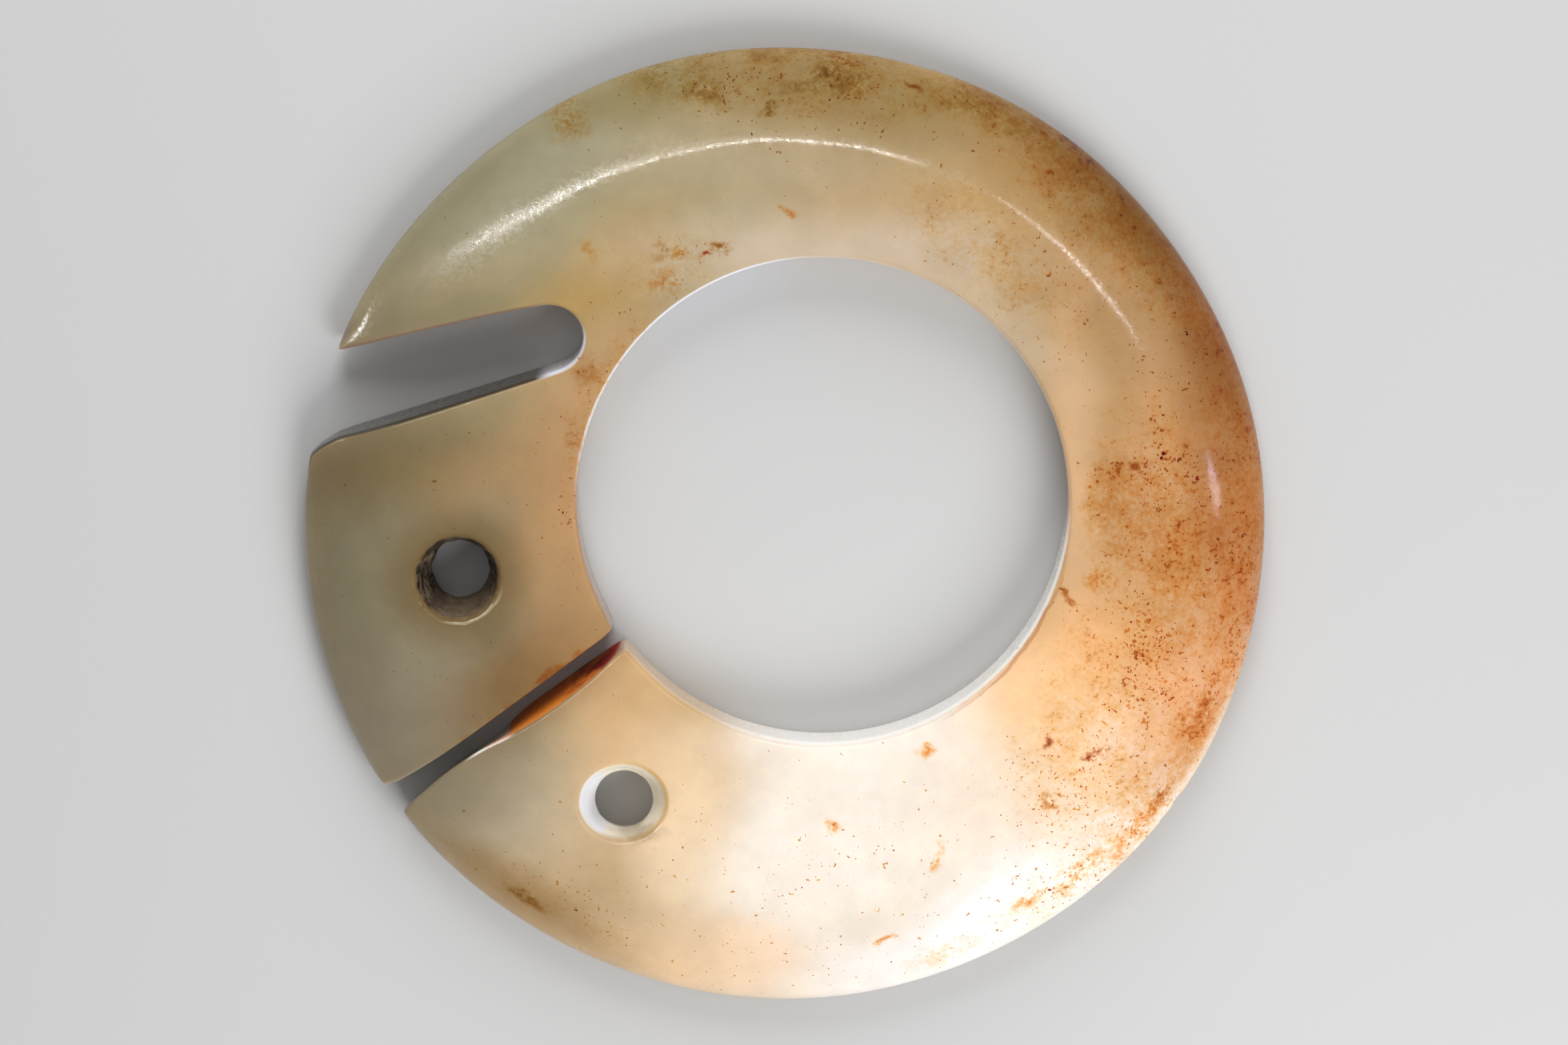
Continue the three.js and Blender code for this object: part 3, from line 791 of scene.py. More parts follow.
# Ragged stains: centre, half lengths, turn, softness, layers, tint
STAINS = (
    ((-8.5, 33.2), (3.4, 1.5), -14, 0.8, 0.9, OLIVE),
    ((-5.6, 31.9), (1.1, 0.6), -30, 0.9, 1.5, OLIVE),
    ((2.7, 33.6), (0.9, 0.35), 15, 0.8, 3.4, OLIVE),
    ((4.2, 32.7), (1.7, 0.7), -5, 0.9, 2.0, OLIVE),
    ((3.9, 34.2), (0.7, 0.4), 0, 0.9, 1.8, GOLD),
    ((0.6, 32.5), (1.5, 0.5), 0, 0.9, 1.4, OLIVE),
    ((-1.2, 31.0), (0.5, 0.3), 25, 0.9, 2.9, OLIVE),
    ((1.0, 34.9), (9.0, 0.8), 0, 0.9, 0.9, OLIVE),
    ((9.1, 32.4), (0.7, 0.25), -12, 0.9, 3.0, BROWN_STAIN),
    ((14.0, 31.0), (3.0, 1.2), -25, 0.9, 1.1, OLIVE),
    ((-15.6, 30.1), (1.1, 1.2), 0, 1.0, 2.0, GOLD),
    ((-4.6, 21.1), (0.6, 0.3), 10, 0.9, 3.4, BROWN_STAIN),
    ((-14.1, 20.8), (0.5, 0.8), 20, 0.9, 1.6, GOLD),
    ((-7.6, 20.5), (0.4, 0.35), 0, 0.9, 2.0, GOLD),
    ((0.2, 23.6), (0.4, 0.25), -20, 0.9, 2.0, IRON_ORANGE),
    ((-15.3, 7.2), (0.5, 1.5), 15, 0.9, 0.8, BROWN_STAIN),
    ((-8.9, 20.7), (0.4, 0.6), 10, 1.0, 1.8, BROWN_STAIN),
    ((-3.4, 32.2), (0.2, 0.4), -20, 0.8, 4.0, BROWN_STAIN),
    ((-5.6, 20.4), (0.25, 0.2), 0, 0.8, 3.6, IRON_RED),
    ((-8.6, 18.4), (0.9, 0.8), -30, 1.0, 1.4, IRON_ORANGE),
    ((20.5, 28.4), (0.7, 0.35), -45, 0.9, 3.0, BROWN_STAIN),
    ((25.6, 5.0), (0.7, 0.4), 15, 0.8, 3.2, BROWN_STAIN),
    ((22.9, -3.0), (0.8, 0.7), 0, 0.8, 2.9, GOLD),
    ((20.4, -4.4), (0.6, 0.25), -50, 0.8, 2.2, BROWN_STAIN),
    ((27.7, -19.4), (0.9, 0.45), 50, 0.9, 1.9, BROWN_STAIN),
    ((30.6, -12.6), (0.6, 1.8), -22, 0.9, 1.7, BROWN_STAIN),
    ((25.4, -22.6), (3.4, 0.6), 50, 0.9, 1.4, IRON_ORANGE),
    ((21.4, -25.2), (1.7, 0.6), 44, 0.9, 2.6, IRON_ORANGE),
    ((17.6, -27.2), (0.8, 0.4), 24, 1.0, 1.9, IRON_ORANGE),
    ((11.6, -31.2), (2.2, 0.7), 22, 1.0, 0.7, IRON_ORANGE),
    ((19.3, -19.4), (0.5, 0.6), 0, 0.8, 2.2, BROWN_STAIN),
    ((22.7, -16.0), (0.9, 0.25), 15, 0.9, 3.2, RUST_BROWN),
    ((19.1, -15.0), (0.35, 0.3), 0, 0.9, 3.2, RUST_BROWN),
    ((10.2, -16.0), (0.55, 0.35), 20, 1.0, 2.9, IRON_ORANGE),
    ((3.5, -21.6), (0.5, 0.4), 0, 1.0, 2.6, IRON_ORANGE),
    ((11.1, -23.6), (0.4, 0.7), 0, 1.0, 2.6, IRON_ORANGE),
    ((7.4, -30.0), (0.5, 0.15), 20, 1.0, 2.4, IRON_ORANGE),
    ((-19.0, -26.9), (1.3, 0.5), -33, 0.9, 2.6, OLIVE),
    ((-17.0, -27.5), (8.5, 1.3), -31, 0.9, 0.35, GOLD),
    ((-14.3, 11.9), (0.7, 0.8), 0, 1.0, 0.9, BROWN_STAIN),
    ((-18.6, -11.8), (5.6, 0.35), 35.8, 0.9, 2.2, GOLD),
    ((-15.4, -9.3), (2.2, 0.3), 35.8, 0.9, 0.35, IRON_ORANGE),
    ((-19.5, -11.8), (6.0, 1.0), 35.8, 1.0, 0.25, GOLD),
)

# Where mineral grain darkens the stone: centre, half lengths, turn, softness, strength
GRAINY = (
    ((24.6, 1.8), (2.6, 3.4), 6, 0.3, 0.8),
    ((28.5, -1.5), (5.0, 9.5), 12, 0.6, 0.75),
    ((32.8, 0.0), (2.2, 17.0), 2, 0.6, 0.85),
    ((30.4, -13.2), (1.8, 8.0), -26, 0.7, 0.8),
    ((26.6, -19.6), (2.8, 5.5), -42, 0.7, 0.6),
    ((23.5, -14.5), (5.0, 7.0), -20, 0.8, 0.45),
    ((20.0, -25.8), (5.0, 1.6), 36, 0.8, 0.25),
    ((25.5, 23.5), (14.5, 4.0), -48, 0.7, 1.0),
    ((5.0, 32.4), (11.0, 2.2), -4, 0.7, 0.4),
    ((15.0, 20.5), (7.0, 2.6), -40, 0.9, 0.4),
    ((-7.8, 19.8), (3.4, 1.6), 30, 0.9, 0.35),
    ((-12.6, 8.5), (2.0, 6.0), -16, 0.8, 0.5),
)

# Where specks are thick: centre, half lengths, turn, softness, share
SPECKLED = (
    ((29.0, -3.0), (7.5, 20.0), 2, 0.6, 1.0),
    ((24.0, -20.0), (13.0, 8.0), 48, 0.6, 0.85),
    ((23.0, 21.5), (16.0, 9.0), -48, 0.6, 0.6),
    ((3.0, 32.0), (16.0, 4.0), 0, 0.6, 0.75),
    ((-11.5, 12.0), (4.0, 13.0), -30, 0.7, 0.6),
    ((6.0, -27.0), (18.0, 8.0), 12, 0.6, 0.5),
    ((-15.2, 3.5), (2.0, 9.0), 4, 0.7, 0.75),
    ((-15.0, -28.0), (8.0, 2.5), -28, 0.7, 0.6),
)

# The kinds of speck: size, detail, rarity where thick, rarity where thin, layers, two tints
SPECKS = (
    (0.42, 1.0, 0.64, 0.78, 2.0, GOLD, BROWN_STAIN),
    (0.24, 1.0, 0.675, 0.79, 2.6, BROWN_STAIN, IRON_RED),
    (0.32, 2.0, 0.66, 0.78, 3.4, BROWN_STAIN, IRON_RED),
    (0.65, 3.0, 0.672, 0.78, 3.8, IRON_RED, BROWN_STAIN),
    (1.1, 2.5, 0.716, 0.79, 4.2, IRON_RED, PLUM),
)

# The colours of the holes and of the slit's rust, as display values; the head's lip has a
# painted highlight and the tail's flare a painted glow
CRUST_DARK = (42, 32, 25)
CRUST_PALE = (126, 108, 86)
# Painted highlight on the head hole's lower right lip
PAINTED_LIP_HIGHLIGHT = (206, 190, 158)
# Painted glow on the tail hole's flare
PAINTED_GLOW_TAIL_HOLE = (255, 247, 230)
DEPOSIT = (150, 132, 100)
RUST_DARK = (142, 34, 26)
RUST_BRIGHT = (255, 152, 54)

# The colours of the cut walls and edges, as display values: some are the stone's tints, and some
# painted glints, painted glow and painted shade
GROUND_WALL = (248, 234, 222)
# Painted glow: a near white that makes walls bright as if lit
PAINTED_GLOW_WHITE = (255, 252, 246)
# Painted glint: a cool white that stands for light caught on walls and edges
PAINTED_GLINT_WHITE = (238, 242, 255)
MAUVE = (130, 102, 90)
# Painted shade: a near black for a wall that lies in shade
PAINTED_SHADE_GREY = (46, 41, 37)
PAINTED_GLOW_EDGE = (250, 238, 226)
# Painted glow: the pale edge along the lower right rim
BORE_LINE = (176, 104, 62)

# The painted glow along the lower right rim: centre, half lengths, turn, softness, strength
PAINTED_GLOW_RIM = ((23.0, -24.0), (16.0, 6.0), 46, 0.6, 0.85)

# The cut walls: centre, half lengths, turn, softness, strength, tint, and the wall share from
# which they have it. Some tints are the stone's, some painted glints, painted glow and painted shade.
WALL_TINTS_AND_PAINTED_LIGHT = (
    ((2.75, 2.35), (19.5, 19.5), 0, 0.04, 0.25, GROUND_WALL, 0.4),
    # Painted glint on the aperture's upper left wall
    ((-8.5, 14.0), (11.5, 5.0), 50, 0.4, 0.95, PAINTED_GLINT_WHITE, 0.2),
    ((-14.4, -2.6), (2.8, 8.5), 2, 0.4, 0.5, MAUVE, 0.3),
    # Painted glow on the aperture's lower and lower right walls
    ((10.0, -12.5), (13.5, 6.0), 20, 0.4, 0.95, PAINTED_GLOW_WHITE, 0.3),
    ((19.0, -5.0), (3.0, 6.5), -28, 0.4, 0.9, PAINTED_GLOW_WHITE, 0.2),
    ((20.4, 4.6), (2.6, 5.0), 4, 0.5, 0.5, MAUVE, 0.5),
    ((-26.0, 14.6), (9.0, 2.0), 12, 0.2, 0.7, MAUVE, 0.1),
    # Painted shade: the mouth's lower lip wall, painted dark for the shade between the jaws
    ((-26.5, 9.4), (11.5, 2.8), 17, 0.2, 0.9, PAINTED_SHADE_GREY, 0.2),
    # Painted glint: the bright crescent on the mouth's inner end
    ((-16.1, 13.2), (2.1, 1.1), 44, 0.3, 0.95, PAINTED_GLINT_WHITE, 0.1),
    # Painted highlight: a bright line along the slit's edge on the tail
    ((-21.4, -15.4), (1.7, 0.8), 38, 0.4, 0.8, PAINTED_GLOW_WHITE, 0.1),
)

# From how far inside the rim the painted glow along the rim begins and where it is full, and over
# what wall share a wall's tint fades in
PAINTED_GLOW_RIM_START = 0.9
PAINTED_GLOW_RIM_FULL = 0.1
WALL_FADE = 0.3

# The wavering brown line: how far out of the aperture it lies, and where
BORE_LINE_OFFSET = 0.4
BORE_LINE_PATCH = ((17.4, -8.6), (3.4, 7.0), -32, 0.7, 1.0)

# The head's hole: where its crust is paler, and the distance and place of the painted highlight on its
# lip
PALE_CRUST = ((-23.3, -5.4), (2.6, 1.3), 10, 0.6, 0.6)
PALE_CRUST_SHARE = 0.4
HEAD_LIP_HIGHLIGHT_DISTANCE = 3.35
HEAD_LIP_HIGHLIGHT_PATCH = ((-22.4, -5.7), (2.3, 1.5), 25, 0.5, 0.45)

# The tail's hole: the painted glow on its flare, the painted cool glint in it, the olive border
# round it and the side that has it, and the deposit
TAIL_FLARE_GLOW = ((-11.81, -19.6), (3.1, 2.7), 0, 0.05, 0.9)
TAIL_GLINT_CRESCENT = ((-14.0, -19.9), (1.3, 2.5), 0, 0.3, 1.0)
TAIL_BORDER = ((-11.81, -19.6), (3.35, 2.95), 0, 0.04, 1.0)
TAIL_BORDER_SIDE = ((-9.6, -19.8), (2.6, 3.2), 0, 0.4, 1.0)
TAIL_BORDER_LAYERS = 0.9
TAIL_DEPOSIT = ((-10.6, -22.0), (1.5, 0.6), 10, 0.8, 0.6)

# The slit's rust: how far it stays from the head's side, and how it brightens along the slit
RUST_HEAD_GAP = 0.3
RUST_BRIGHTENING = 0.09
RUST_LEVEL = -2.15

# How noise pushes the patches about: its size, its detail, and how far it pushes
LOOSE_WARP = (9.0, 2.0, 3.0)
RAGGED_WARP = (1.4, 6.0, 2.4)
PATCH_DEPTH = 100

# Noises: size of the largest features, detail, and roughness where it isn't the usual 0.5
GROUND_CLOUDS = (3.0, 6.0, 0.65)
MINERAL_CLOUDS = (3.4, 6.0, 0.7)
MINERAL_BLOTCHES = (0.9, 5.0, 0.65)
MINERAL_GRAIN = (0.32, 2.0, 0.6)
SPECK_CLUMPS = (4.0, 3.0, 0.6)
SPECK_TONES = (4.0, 1.0)
BORE_LINE_WAVES = (2.5, 3.0)
HOLE_EDGE_WAVES = (1.2, 4.0)
CRUST_FLAKES = (0.8, 5.0, 0.7)
RUST_STREAKS = (1.6, 4.0)
POLISH_DOTS = (0.3, 3.0, 0.65)
SURFACE_SWELL = (2.6, 2.0)
SURFACE_GRAIN = (0.3, 3.0, 0.7)
CRUST_LUMPS = (0.5, 5.0)

# How much each mineral noise counts, the specks' own noise and edge, and how far the two wavering
# borders swing
CLOUD_SHARE = 0.8
BLOTCH_SHARE = 0.6
GRAIN_SHARE = 0.5
SPECK_ROUGHNESS = 0.6
SPECK_EDGE = 0.018
BORE_LINE_SWING = 0.7
HOLE_EDGE_SWING = 0.5

# Smooth steps: where each begins and ends and, where it isn't 0 and 1, what it gives at both ends
CLOUD_STEP = (0.3, 0.7, 0.95, 1.05)
VEIL_STEP = (0.77, 1.15, 0.0, 2.0)
DOT_STEP = (1.05, 1.2, 0.0, 2.5)
THINNING_STEP = (0.78, 1.1, 0.05, 1.1)
CLUMP_STEP = (0.36, 0.62, 0.3, 1.0)
TONE_STEP = (0.35, 0.65)
BORE_LINE_STEP = (0.04, 0.2, 0.5, 0.0)
HEAD_SHADE_STEP = (2.95, 6.6, 1.2, 0.0)
HEAD_HALO_STEP = (2.95, 3.7, 0.5, 0.0)
CRUST_STEP = (2.85, 3.1, 1.0, 0.0)
FLAKE_STEP = (0.42, 0.68)
HEAD_LIP_HIGHLIGHT_STEP = (0.04, 0.14, 1.0, 0.0)
RUST_FRONT_STEP = (-0.08, 0.06, 1.0, 0.0)
RUST_END_STEP = (38.0, 30.0)
RUST_STREAK_STEP = (0.1, 0.55)
POLISH_STEP = (0.46, 0.6, 0.06, 0.24)

# The worked surface: the relief's depth, how much of it swell, grain and crust make, the crust's
# extra roughness, and how light bends, glosses and sinks in
RELIEF_DEPTH = 0.006
SWELL_STRENGTH = 2.2
GRAIN_STRENGTH = 1.2
CRUST_STRENGTH = 30.0
CRUST_ROUGHNESS = 0.5
REFRACTION = 1.6
GLOSS = 0.3
SUNKEN_LIGHT = 0.3
SUNKEN_LIGHT_REACH = (1.0, 0.6, 0.35)
SUNKEN_LIGHT_DEPTH = 1.6

# Node sockets of a colour mix, and the middle of a noise's colour
MIX_FACTOR, MIX_A, MIX_B, MIX_RESULT = 0, 6, 7, 2
NOISE_MIDDLE = (0.5, 0.5, 0.5)


def display(red, green, blue):
    """A shader colour from display values of 0 to 255: a straight line in the darks, and a power
    of 2.4 above them."""
    values = np.array((red, green, blue)) / 255
    linear = np.where(values <= 0.04045, values / 12.92, ((values + 0.055) / 1.055) ** 2.4)
    return (*linear.tolist(), 1.0)


class NodeBench:
    """Adds nodes to one node tree. Any input may be a plain value or another node's output."""

    def __init__(self, tree):
        self.tree = tree

    def put(self, socket, value):
        if isinstance(value, bpy.types.NodeSocket):
            self.tree.links.new(value, socket)
        else:
            socket.default_value = value

    def node(self, kind, values, **settings):
        made = self.tree.nodes.new(kind)
        for name, setting in settings.items():
            setattr(made, name, setting)
        for key, value in values.items():
            self.put(made.inputs[key], value)
        return made

    def math(self, operation, *values, clamp=False):
        settings = {"operation": operation, "use_clamp": clamp}
        return self.node("ShaderNodeMath", dict(enumerate(values)), **settings).outputs[0]

    def vector(self, operation, *values):
        made = self.node("ShaderNodeVectorMath", dict(enumerate(values)), operation=operation)
        return made.outputs["Value" if operation in ("LENGTH", "DOT_PRODUCT") else "Vector"]

    def scaled(self, vector, factor):
        values = {0: vector, "Scale": factor}
        return self.node("ShaderNodeVectorMath", values, operation="SCALE").outputs["Vector"]

    def mixed(self, factor, base, top, blend="MIX"):
        values = {MIX_FACTOR: factor, MIX_A: base, MIX_B: top}
        made = self.node("ShaderNodeMix", values, data_type="RGBA", blend_type=blend)
        return made.outputs[MIX_RESULT]

    def smooth(self, value, low, high, low_result=0.0, high_result=1.0):
        """A smooth step of the value between low and high."""
        values = dict(enumerate((value, low, high, low_result, high_result)))
        made = self.node("ShaderNodeMapRange", values, interpolation_type="SMOOTHSTEP")
        return made.outputs[0]

    def noise(self, position, size, detail=3.0, roughness=0.5):
        """Cloudy noise whose largest features have that size. Gives its value and its colour."""
        values = {"Vector": position, "Scale": 1 / size, "Detail": detail, "Roughness": roughness}
        return self.node("ShaderNodeTexNoise", values).outputs[:2]

    def warped(self, position, size, detail, amount):
        """The position pushed about by cloudy noise."""
        push = self.vector("SUBTRACT", self.noise(position, size, detail)[1], NOISE_MIDDLE)
        return self.vector("ADD", position, self.scaled(push, amount))

    def group(self, tree, **values):
        """A placed group. An input's name is given in small letters with _ for a space."""
        named = {name.replace("_", " ").title(): value for name, value in values.items()}
        return self.node("ShaderNodeGroup", named, node_tree=tree).outputs


def new_group(name, inputs, outputs):
    """A node group with named sockets, its bench, its inputs and its outputs."""
    tree = bpy.data.node_groups.new(name, "ShaderNodeTree")
    for label, value in inputs.items():
        kind = "NodeSocketFloat" if isinstance(value, float) else "NodeSocketVector"
        tree.interface.new_socket(label, in_out="INPUT", socket_type=kind).default_value = value
    for label in outputs:
        kind = "NodeSocketColor" if label == "Colour" else "NodeSocketFloat"
        tree.interface.new_socket(label, in_out="OUTPUT", socket_type=kind)
    entry, way_out = tree.nodes.new("NodeGroupInput"), tree.nodes.new("NodeGroupOutput")
    return tree, NodeBench(tree), entry.outputs, way_out.inputs


def placed_patch_group():
    """An oval patch on the plan: the position is moved to the centre, turned back and divided by
    the half lengths, and the mask falls smoothly where its length passes 1."""
    inputs = {
        "Position": (0.0, 0.0, 0.0), "Centre": (0.0, 0.0, 0.0), "Half Size": (1.0, 1.0, 1.0),
        "Turn": 0.0, "Softness": 0.5, "Strength": 1.0,
    }
    tree, bench, given, result = new_group("placed_patch", inputs, ("Mask",))
    moved = bench.vector("SUBTRACT", given["Position"], given["Centre"])
    back = bench.math("MULTIPLY", given["Turn"], -1.0)
    values = {"Vector": moved, "Angle": back}
    turned = bench.node("ShaderNodeVectorRotate", values, rotation_type="Z_AXIS").outputs[0]
    length = bench.vector("LENGTH", bench.vector("DIVIDE", turned, given["Half Size"]))
    outer = bench.math("ADD", 1.0, given["Softness"])
    inner = bench.math("SUBTRACT", 1.0, given["Softness"])
    mask = bench.smooth(length, inner, outer, 1.0, 0.0)
    bench.put(result["Mask"], bench.math("MULTIPLY", mask, given["Strength"]))
    return tree


def speck_field_group():
    """Scattered irregular specks: the islands of cloudy noise that stand above the rarity. Tone
    is a number that varies slowly from speck to speck."""
    inputs = {"Position": (0.0, 0.0, 0.0), "Size": 1.0, "Detail": 2.0, "Rarity": 0.7}
    tree, bench, given, result = new_group("speck_field", inputs, ("Mask", "Tone"))
    place = bench.scaled(given["Position"], bench.math("DIVIDE", 1.0, given["Size"]))
    value = bench.noise(place, 1.0, given["Detail"], SPECK_ROUGHNESS)[0]
    edge = bench.math("ADD", given["Rarity"], SPECK_EDGE)
    bench.put(result["Mask"], bench.smooth(value, given["Rarity"], edge))
    tone = bench.noise(place, *SPECK_TONES)[0]
    bench.put(result["Tone"], bench.smooth(tone, *TONE_STEP))
    return tree


def soaked_stone_group():
    """Stone soaked with a stain: each colour is multiplied by its tint raised to the number of
    layers, so that a thin stain is golden and a thick one dark."""
    inputs = {"Colour": (0.5, 0.5, 0.5), "Tint": (0.9, 0.7, 0.4), "Layers": 1.0}
    tree, bench, given, result = new_group("soaked_stone", inputs, ("Colour",))
    tint = bench.node("ShaderNodeSeparateXYZ", {0: given["Tint"]}).outputs
    through = [bench.math("POWER", tint[axis], given["Layers"]) for axis in range(3)]
    through = bench.node("ShaderNodeCombineXYZ", dict(enumerate(through))).outputs[0]
    bench.put(result["Colour"], bench.vector("MULTIPLY", given["Colour"], through))
    return tree


class Nephrite:
    """The pendant's stone: its colour zones, stains, specks and worked surfaces, with painted
    glints, glow and shade on some walls and edges, in one material.
    """

    def __init__(self):
        self.material = bpy.data.materials.new("nephrite")
        self.material.use_nodes = True
        self.bench = NodeBench(self.material.node_tree)
        self.patch = placed_patch_group()
        self.specks = speck_field_group()
        self.soak = soaked_stone_group()
        coordinates = self.bench.node("ShaderNodeTexCoord", {}).outputs["Object"]
        self.position = self.bench.scaled(coordinates, 1 / MM)
        self.loose = self.bench.warped(self.position, *LOOSE_WARP)
        self.ragged = self.bench.warped(self.position, *RAGGED_WARP)

    def patch_mask(self, position, centre, half, turn, softness, strength):
        """Where a patch lies, with lengths in millimetres and its turn in degrees."""
        return self.bench.group(
            self.patch, position=position, centre=(*centre, 0), half_size=(*half, PATCH_DEPTH),
            turn=math.radians(turn), softness=softness, strength=strength,
        )["Mask"]

    def soaked(self, colour, tint, layers):
        """The colour under some layers of a stain's tint."""
        return self.bench.group(self.soak, colour=colour, tint=tint, layers=layers)["Colour"]

    def noise(self, kind):
        """The value of one of the noises named above."""
        return self.bench.noise(self.position, *kind)[0]

    def waver(self, kind, swing):
        """A number that wavers round 0, as wide as the swing."""
        return self.bench.math("MULTIPLY_ADD", self.noise(kind), swing, -swing / 2)

    def from_centre(self, centre):
        """Distance on the plan from a centre."""
        flat = self.bench.vector("MULTIPLY", self.position, (1, 1, 0))
        return self.bench.vector("LENGTH", self.bench.vector("SUBTRACT", flat, (*centre, 0)))

    def zones(self):
        """The stone's ground colour: honey, with each zone's colour laid over it, and a faint
        cloudiness. The zones are partly painted light and shade: paler towards the lower right,
        darker on the upper left rim, with a painted glow by the aperture's top."""
        bench = self.bench
        colour = display(*HONEY)
        for centre, half, turn, softness, strength, tint in ZONES:
            mask = self.patch_mask(self.loose, centre, half, turn, softness, strength)
            colour = bench.mixed(mask, colour, display(*tint))
        return bench.scaled(colour, bench.smooth(self.noise(GROUND_CLOUDS), *CLOUD_STEP))

    def edge_tints_and_painted_light(self, colour):
        """The tints of the cut walls and their edges, with painted glints, glow and shade among
        them: each lies on a patch, from a wall share upwards. A painted glow pales the lower right
        rim, and a wavering brown line runs under the aperture's lower right edge."""
        bench = self.bench
        from_middle = self.from_centre((0, 0))
        # Painted glow: the rim's last millimetre pales on the lower right
        rim = bench.smooth(from_middle, RING_RADIUS - PAINTED_GLOW_RIM_START, RING_RADIUS - PAINTED_GLOW_RIM_FULL)
        pale = self.patch_mask(self.loose, *PAINTED_GLOW_RIM)
        colour = bench.mixed(bench.math("MULTIPLY", rim, pale), colour, display(*PAINTED_GLOW_EDGE))
        share = bench.node("ShaderNodeAttribute", {}, attribute_name="wall_share").outputs["Fac"]
        for centre, half, turn, softness, strength, tint, start in WALL_TINTS_AND_PAINTED_LIGHT:
            mask = self.patch_mask(self.position, centre, half, turn, softness, strength)
            on_wall = bench.smooth(share, start, start + WALL_FADE)
            colour = bench.mixed(bench.math("MULTIPLY", on_wall, mask), colour, display(*tint))
        wavering = self.waver(BORE_LINE_WAVES, BORE_LINE_SWING)
        bore = bench.math("ADD", self.from_centre(APERTURE_CENTRE), wavering)
        off = bench.math("SUBTRACT", bore, APERTURE_RADIUS + BORE_LINE_OFFSET)
        line = bench.smooth(bench.math("ABSOLUTE", off), *BORE_LINE_STEP)
        lower = self.patch_mask(self.ragged, *BORE_LINE_PATCH)
        return bench.mixed(bench.math("MULTIPLY", line, lower), colour, display(*BORE_LINE))

    def stains(self, colour):
        """Burial stains: a golden veil and brown dots where the stone is grainy, and ragged stains.
        All are broken up by one mineral noise, the weighted sum of clouds, blotches and grain."""
        bench = self.bench
        wide = 0.0
        for centre, half, turn, softness, strength in GRAINY:
            mask = self.patch_mask(self.loose, centre, half, turn, softness, strength)
            wide = bench.math("MAXIMUM", wide, mask)
        rough = bench.math("MULTIPLY", self.noise(MINERAL_CLOUDS), CLOUD_SHARE)
        rough = bench.math("MULTIPLY_ADD", self.noise(MINERAL_BLOTCHES), BLOTCH_SHARE, rough)
        rough = bench.math("MULTIPLY_ADD", self.noise(MINERAL_GRAIN), GRAIN_SHARE, rough)
        veil = bench.smooth(rough, *VEIL_STEP)
        colour = self.soaked(colour, GOLD, bench.math("MULTIPLY", wide, veil))
        dots = bench.smooth(rough, *DOT_STEP)
        colour = self.soaked(colour, BROWN_STAIN, bench.math("MULTIPLY", wide, dots))
        thinned = bench.smooth(rough, *THINNING_STEP)
        for centre, half, turn, softness, layers, tint in STAINS:
            mask = self.patch_mask(self.ragged, centre, half, turn, softness, layers)
            colour = self.soaked(colour, tint, bench.math("MULTIPLY", mask, thinned))
        return colour

    def specked(self, colour):
        """Golden, brown, red and plum-black specks, thick where the stone is stained."""
        bench = self.bench
        thick = 0.0
        for centre, half, turn, softness, share in SPECKLED:
            mask = self.patch_mask(self.loose, centre, half, turn, softness, share)
            thick = bench.math("MAXIMUM", thick, mask)
        thick = bench.math("MULTIPLY", thick, bench.smooth(self.noise(SPECK_CLUMPS), *CLUMP_STEP))
        for size, detail, thick_rarity, thin_rarity, layers, pale, dark in SPECKS:
            rarity = bench.math("MULTIPLY_ADD", thick, thick_rarity - thin_rarity, thin_rarity)
            field = bench.group(
                self.specks, position=self.position, size=size, detail=detail, rarity=rarity,
            )
            tint = bench.mixed(field["Tone"], (*pale, 1), (*dark, 1))
            colour = self.soaked(colour, tint, bench.math("MULTIPLY", field["Mask"], layers))
        return colour

    def head_hole(self, colour):
        """The dark crust in the head's hole, the stone browner and olive round it, and a painted
        highlight on its lip. Gives the colour, and where the crust lies."""
        bench = self.bench
        wavering = self.waver(HOLE_EDGE_WAVES, HOLE_EDGE_SWING)
        head = bench.math("ADD", self.from_centre(HEAD_HOLE_CENTRE), wavering)
        colour = self.soaked(colour, SHADE_STAIN, bench.smooth(head, *HEAD_SHADE_STEP))
        colour = self.soaked(colour, OLIVE, bench.smooth(head, *HEAD_HALO_STEP))
        crust = bench.smooth(head, *CRUST_STEP)
        flakes = bench.smooth(self.noise(CRUST_FLAKES), *FLAKE_STEP)
        paler = self.patch_mask(self.ragged, *PALE_CRUST)
        paler = bench.math("MULTIPLY_ADD", flakes, PALE_CRUST_SHARE, paler)
        flakes = bench.math("MAXIMUM", flakes, paler)
        tint = bench.mixed(flakes, display(*CRUST_DARK), display(*CRUST_PALE))
        colour = bench.mixed(crust, colour, tint)
        # Painted highlight: a cream crescent on the lip
        from_lip = bench.math("ABSOLUTE", bench.math("SUBTRACT", head, HEAD_LIP_HIGHLIGHT_DISTANCE))
        lip_highlight = bench.smooth(from_lip, *HEAD_LIP_HIGHLIGHT_STEP)
        lip_highlight_side = self.patch_mask(self.position, *HEAD_LIP_HIGHLIGHT_PATCH)
        colour = bench.mixed(bench.math("MULTIPLY", lip_highlight, lip_highlight_side), colour, display(*PAINTED_LIP_HIGHLIGHT))
        return colour, crust

    def tail_hole(self, colour):
        """The tail's hole: a painted glow on its flare with a painted cool glint, a thin olive
        border on one side, and an ochre deposit."""
        bench = self.bench
